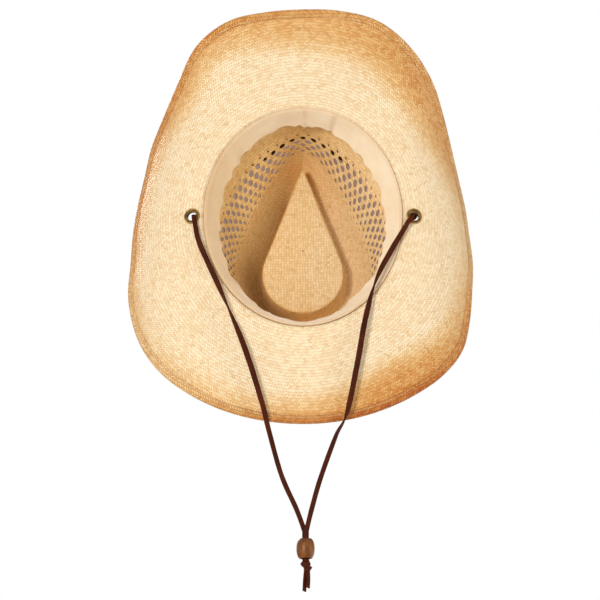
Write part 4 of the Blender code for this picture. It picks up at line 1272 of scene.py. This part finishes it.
def loop_wrap(name, centre, normal, wide_r, thick_r, turn_from, turn_to, climb, scale=1.0):
    normal = unit(normal)
    side = unit(np.cross((0, 0, 1.0), normal))
    third = np.cross(normal, side)
    a = np.linspace(turn_from, turn_to, 40)
    path = np.array([centre + side * wide_r * math.cos(t) + third * thick_r * math.sin(t)
                     + normal * climb * (t - turn_from) / (turn_to - turn_from) for t in a])
    return sweep(name, path, np.tile(normal, (40, 1)), SECTION * scale)


wrap = loop_wrap("lace_knot_wrap", KNOT - AXIS * 0.0004, AXIS * 0.80 - ACROSS * 0.60, 0.0042, 0.0031,
                 -2.2, 4.2, 0.0016, 1.12)
finish_piece(wrap, "chin_lace", LACE, "lace_leather", "lace_knot")
wrap2 = loop_wrap("lace_knot_cross", KNOT - AXIS * 0.0012 - ACROSS * 0.0008 + UPRIGHT * 0.0006, AXIS * 0.85 + ACROSS * 0.30,
                  0.0030, 0.0024, 0.4, 6.2, -0.0010, 0.85)
finish_piece(wrap2, "chin_lace", LACE, "lace_leather")
inside = catmull([KNOT - AXIS * 0.0052 - ACROSS * 0.0010, KNOT - ACROSS * 0.0003, KNOT + AXIS * 0.0052], 8)
finish_piece(sweep("lace_knot_heart", inside, np.tile(unit(ACROSS + UPRIGHT * 0.4), (len(inside), 1)),
                   strap_section(0.0046, 0.0040)), "chin_lace", LACE, "lace_leather")
TAIL = KNOT + AXIS * 0.0040
slant = unit(ACROSS + UPRIGHT)
for side, label, long in ((-1, "left", 0.0185), (1, "right", 0.0155)):
    a = TAIL + ACROSS * side * 0.0009
    b = TAIL + ACROSS * side * 0.0014 + np.array((-0.0003, long * 0.5, -0.0012))
    c = TAIL + ACROSS * side * 0.0015 + np.array((-0.0007, long, -0.0034))
    path = catmull([a, b, c], 8)
    tail = sweep(label + "_lace_end", path, np.tile(slant, (len(path), 1)), SECTION * 0.9, wobble=0.03)
    finish_piece(tail, "chin_lace", LACE, "lace_leather", label + "_lace_tail")

# bead
half = BEAD_L / 2
outer = [(0.00365, -half + 0.0006), (0.0039, -half + 0.0001), (0.0043, -half), (0.0047, -half + 0.00015)]
for t in np.linspace(-0.975, 0.975, 31):
    outer.append((0.0046 + 0.0030 * (1 - abs(t) ** 2.3) ** 0.60, t * half))
outer += [(0.0047, half - 0.00015), (0.0043, half), (0.0039, half - 0.0001), (0.00365, half - 0.0006)]
for t in np.linspace(0.8, -0.8, 6):
    outer.append((0.0036, t * half))
tilt = Vector(AXIS).to_track_quat("Z", "Y").to_matrix().to_4x4()
finish_piece(lathe("chin_bead_turned", outer, 56, Matrix.Translation(BEAD) @ tilt), "bead", WOOD,
             "bead_wood", "chin_bead")

# ------------------------------------------------------------------ kept CAD nodes
for node, mat in (("brim_wire", STEEL),):
    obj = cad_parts[node]
    obj.data.materials.clear()
    obj.data.materials.append(mat)

# ------------------------------------------------------------------ stage
low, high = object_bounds()
FLOOR_Z = low.z - 0.0004


def one_way(name, colour, from_above, strength=None):
    """A stage surface seen only by the camera and only from one side, so it never blocks light."""
    m = Nodes(name)
    path = m.tree.nodes.new("ShaderNodeLightPath")
    geo = m.tree.nodes.new("ShaderNodeNewGeometry")
    split = m.tree.nodes.new("ShaderNodeSeparateXYZ")
    m.tree.links.new(geo.outputs["Incoming"], split.inputs[0])
    if from_above:
        seen = m.math("GREATER_THAN", split.outputs[2], 0.0)
    else:
        seen = m.math("LESS_THAN", split.outputs[2], -0.91)
    seen = m.math("MULTIPLY", seen, path.outputs["Is Camera Ray"])
    clear = m.tree.nodes.new("ShaderNodeBsdfTransparent")
    if strength is None:
        body = m.tree.nodes.new("ShaderNodeBsdfDiffuse")
        soft = m.noise(m.position(), 3.0, 3.0)
        body.inputs[0].default_value = colour
        m.tree.links.new(m.mix(m.ramp(soft, 0.3, 0.7, 0.0, 0.04), colour, (0.7, 0.69, 0.67, 1)), body.inputs[0])
        glow = m.tree.nodes.new("ShaderNodeEmission")
        glow.inputs[0].default_value = (1, 0.995, 0.985, 1)
        glow.inputs[1].default_value = 0.97
        far = m.node("ShaderNodeVectorMath", {0: m.position(), 1: (0.0, 0.0, 0.0)}, output=1, operation="DISTANCE")
        fade = m.tree.nodes.new("ShaderNodeMixShader")
        m.tree.links.new(m.ramp(far, 0.35, 1.5), fade.inputs[0])
        m.tree.links.new(body.outputs[0], fade.inputs[1])
        m.tree.links.new(glow.outputs[0], fade.inputs[2])
        body = fade
    else:
        # the glowing cards show a fixed, mottled painted shade colour
        body = m.tree.nodes.new("ShaderNodeEmission")
        soft = m.noise(m.position(), 45.0, 3.0)
        m.tree.links.new(m.mix(m.ramp(soft, 0.3, 0.7, 0.0, 0.5), colour,
                               tuple(v * 0.75 for v in colour[:3]) + (1,)), body.inputs[0])
        body.inputs[1].default_value = strength
    mixer = m.tree.nodes.new("ShaderNodeMixShader")
    m.tree.links.new(seen, mixer.inputs[0])
    m.tree.links.new(clear.outputs[0], mixer.inputs[1])
    m.tree.links.new(body.outputs[0], mixer.inputs[2])
    m.tree.links.new(mixer.outputs[0], m.out.inputs["Surface"])
    m.tree.nodes.remove(m.bsdf)
    return m.mat


def stage_sheet(name, corners, mat):
    mesh = bpy.data.meshes.new(name)
    mesh.from_pydata([tuple(c) for c in corners], [], [tuple(range(len(corners)))])
    obj = bpy.data.objects.new(name, mesh)
    obj.data.materials.append(mat)
    bpy.context.scene.collection.objects.link(obj)
    obj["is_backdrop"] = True
    return obj


S = 4.0
stage_sheet("floor", [(-S, -S, FLOOR_Z), (S, -S, FLOOR_Z), (S, S, FLOOR_Z), (-S, S, FLOOR_Z)],
            one_way("pale_floor", (0.86, 0.855, 0.845, 1), True))
# a glowing card above the crown, painted the colour of a table in shadow, seen from below through the vents
around_card = np.linspace(0, 2 * np.pi, 48, endpoint=False)
shade = place(around_card, 0.004 + 0.026 * np.clip(np.cos(around_card), 0, 1) ** 2, 0.112) - ORIGIN
stage_sheet("shaded_table", shade, one_way("shaded_table", rgb(156, 131, 121), False, 1.0))

# a dark glowing disc behind the right eyelet hole: painted shade
dark = [np.array((0.0963 + 0.0046 * math.cos(a) - 0.0012, -0.0036 + 0.0046 * math.sin(a), 0.0100)) - ORIGIN
        for a in np.linspace(0, 2 * math.pi, 24, endpoint=False)]
stage_sheet("shaded_lace_hole", dark, one_way("shaded_hole", rgb(26, 15, 10), False, 1.0))

# ------------------------------------------------------------------ light and camera
scene = bpy.context.scene
world = bpy.data.worlds.new("studio")
scene.world = world
world.use_nodes = True
tree = world.node_tree
tree.nodes.clear()
out = tree.nodes.new("ShaderNodeOutputWorld")
light = tree.nodes.new("ShaderNodeBackground")
light.inputs[0].default_value = (1.0, 0.985, 0.965, 1)
light.inputs[1].default_value = 0.59
white = tree.nodes.new("ShaderNodeBackground")
white.inputs[0].default_value = (1, 1, 1, 1)
white.inputs[1].default_value = 1.0
path = tree.nodes.new("ShaderNodeLightPath")
mixer = tree.nodes.new("ShaderNodeMixShader")
tree.links.new(path.outputs["Is Camera Ray"], mixer.inputs[0])
tree.links.new(light.outputs[0], mixer.inputs[1])
tree.links.new(white.outputs[0], mixer.inputs[2])
tree.links.new(mixer.outputs[0], out.inputs[0])

TILT = math.radians(18)
FORWARD = Vector((0, -math.sin(TILT), math.cos(TILT)))
UP = Vector((0, -math.cos(TILT), -math.sin(TILT)))
RIGHT = Vector((1, 0, 0))
TARGET = Vector((-0.0026, 0.077, 0.0)) - Vector(ORIGIN)


def area(name, where, aim, size, power, colour=(1, 1, 1)):
    data = bpy.data.lights.new(name, "AREA")
    data.shape = "DISK"
    data.size = size
    data.energy = power
    data.color = colour
    obj = bpy.data.objects.new(name, data)
    obj.location = where
    obj.rotation_mode = "QUATERNION"
    obj.rotation_quaternion = (Vector(aim) - Vector(where)).to_track_quat("-Z", "Y")
    scene.collection.objects.link(obj)
    return obj


HEART = Vector((0, 0, -0.04))
area("key_low", HEART - FORWARD * 1.7 + UP * 0.40 - RIGHT * 0.66, HEART, 0.36, 18.0, (1.0, 0.985, 0.96))
area("side_low", HEART - FORWARD * 0.8 - RIGHT * 2.0, HEART, 0.9, 6.0, (1.0, 0.99, 0.98))
area("fill_low", HEART - FORWARD * 1.1 + RIGHT * 1.9 + UP * 0.1, HEART, 1.0, 13.0, (1.0, 0.99, 0.98))
area("key_high", HEART + Vector((-1.1, -1.2, 1.7)), HEART, 0.9, 28.0, (1.0, 0.985, 0.96))
area("fill_high", HEART + Vector((1.5, 0.6, 1.2)), HEART, 1.4, 12.0, (0.98, 0.99, 1.0))


def beam(name, aim, sideways, power, angle):
    data = bpy.data.lights.new(name, "SPOT")
    data.energy = power
    data.color = (1.0, 0.90, 0.74)
    data.shadow_soft_size = 0.10
    data.spot_size = math.radians(angle)
    data.spot_blend = 1.0
    obj = bpy.data.objects.new(name, data)
    obj.location = Vector(aim) - FORWARD * 1.75 + UP * 0.30 + RIGHT * sideways
    obj.rotation_mode = "QUATERNION"
    obj.rotation_quaternion = (Vector(aim) - obj.location).to_track_quat("-Z", "Y")
    scene.collection.objects.link(obj)


# narrow soft beams lift the right and the rear left of the crown's inside
beam("beam_right", (0.050, -0.026, 0.006), -0.42, 36.0, 4.2)
beam("beam_rear", (-0.040, 0.016, 0.010), 0.45, 13.0, 3.2)

cam_data = bpy.data.cameras.new("camera")
cam = bpy.data.objects.new("camera", cam_data)
cam_data.sensor_width = 36.0
cam_data.lens = 36.0 * (2.4 / 0.00086) / 600.0
cam_data.clip_start, cam_data.clip_end = 0.05, 50.0
cam.matrix_world = Matrix((
    (RIGHT.x, UP.x, -FORWARD.x, TARGET.x - FORWARD.x * 2.4),
    (RIGHT.y, UP.y, -FORWARD.y, TARGET.y - FORWARD.y * 2.4),
    (RIGHT.z, UP.z, -FORWARD.z, TARGET.z - FORWARD.z * 2.4),
    (0, 0, 0, 1)))
scene.collection.objects.link(cam)
scene.camera = cam
scene.view_settings.view_transform = "Standard"
scene.view_settings.look = "None"
scene.view_settings.exposure = 0.0
scene.view_settings.gamma = 1.0

bpy.context.view_layer.update()
low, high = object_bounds()
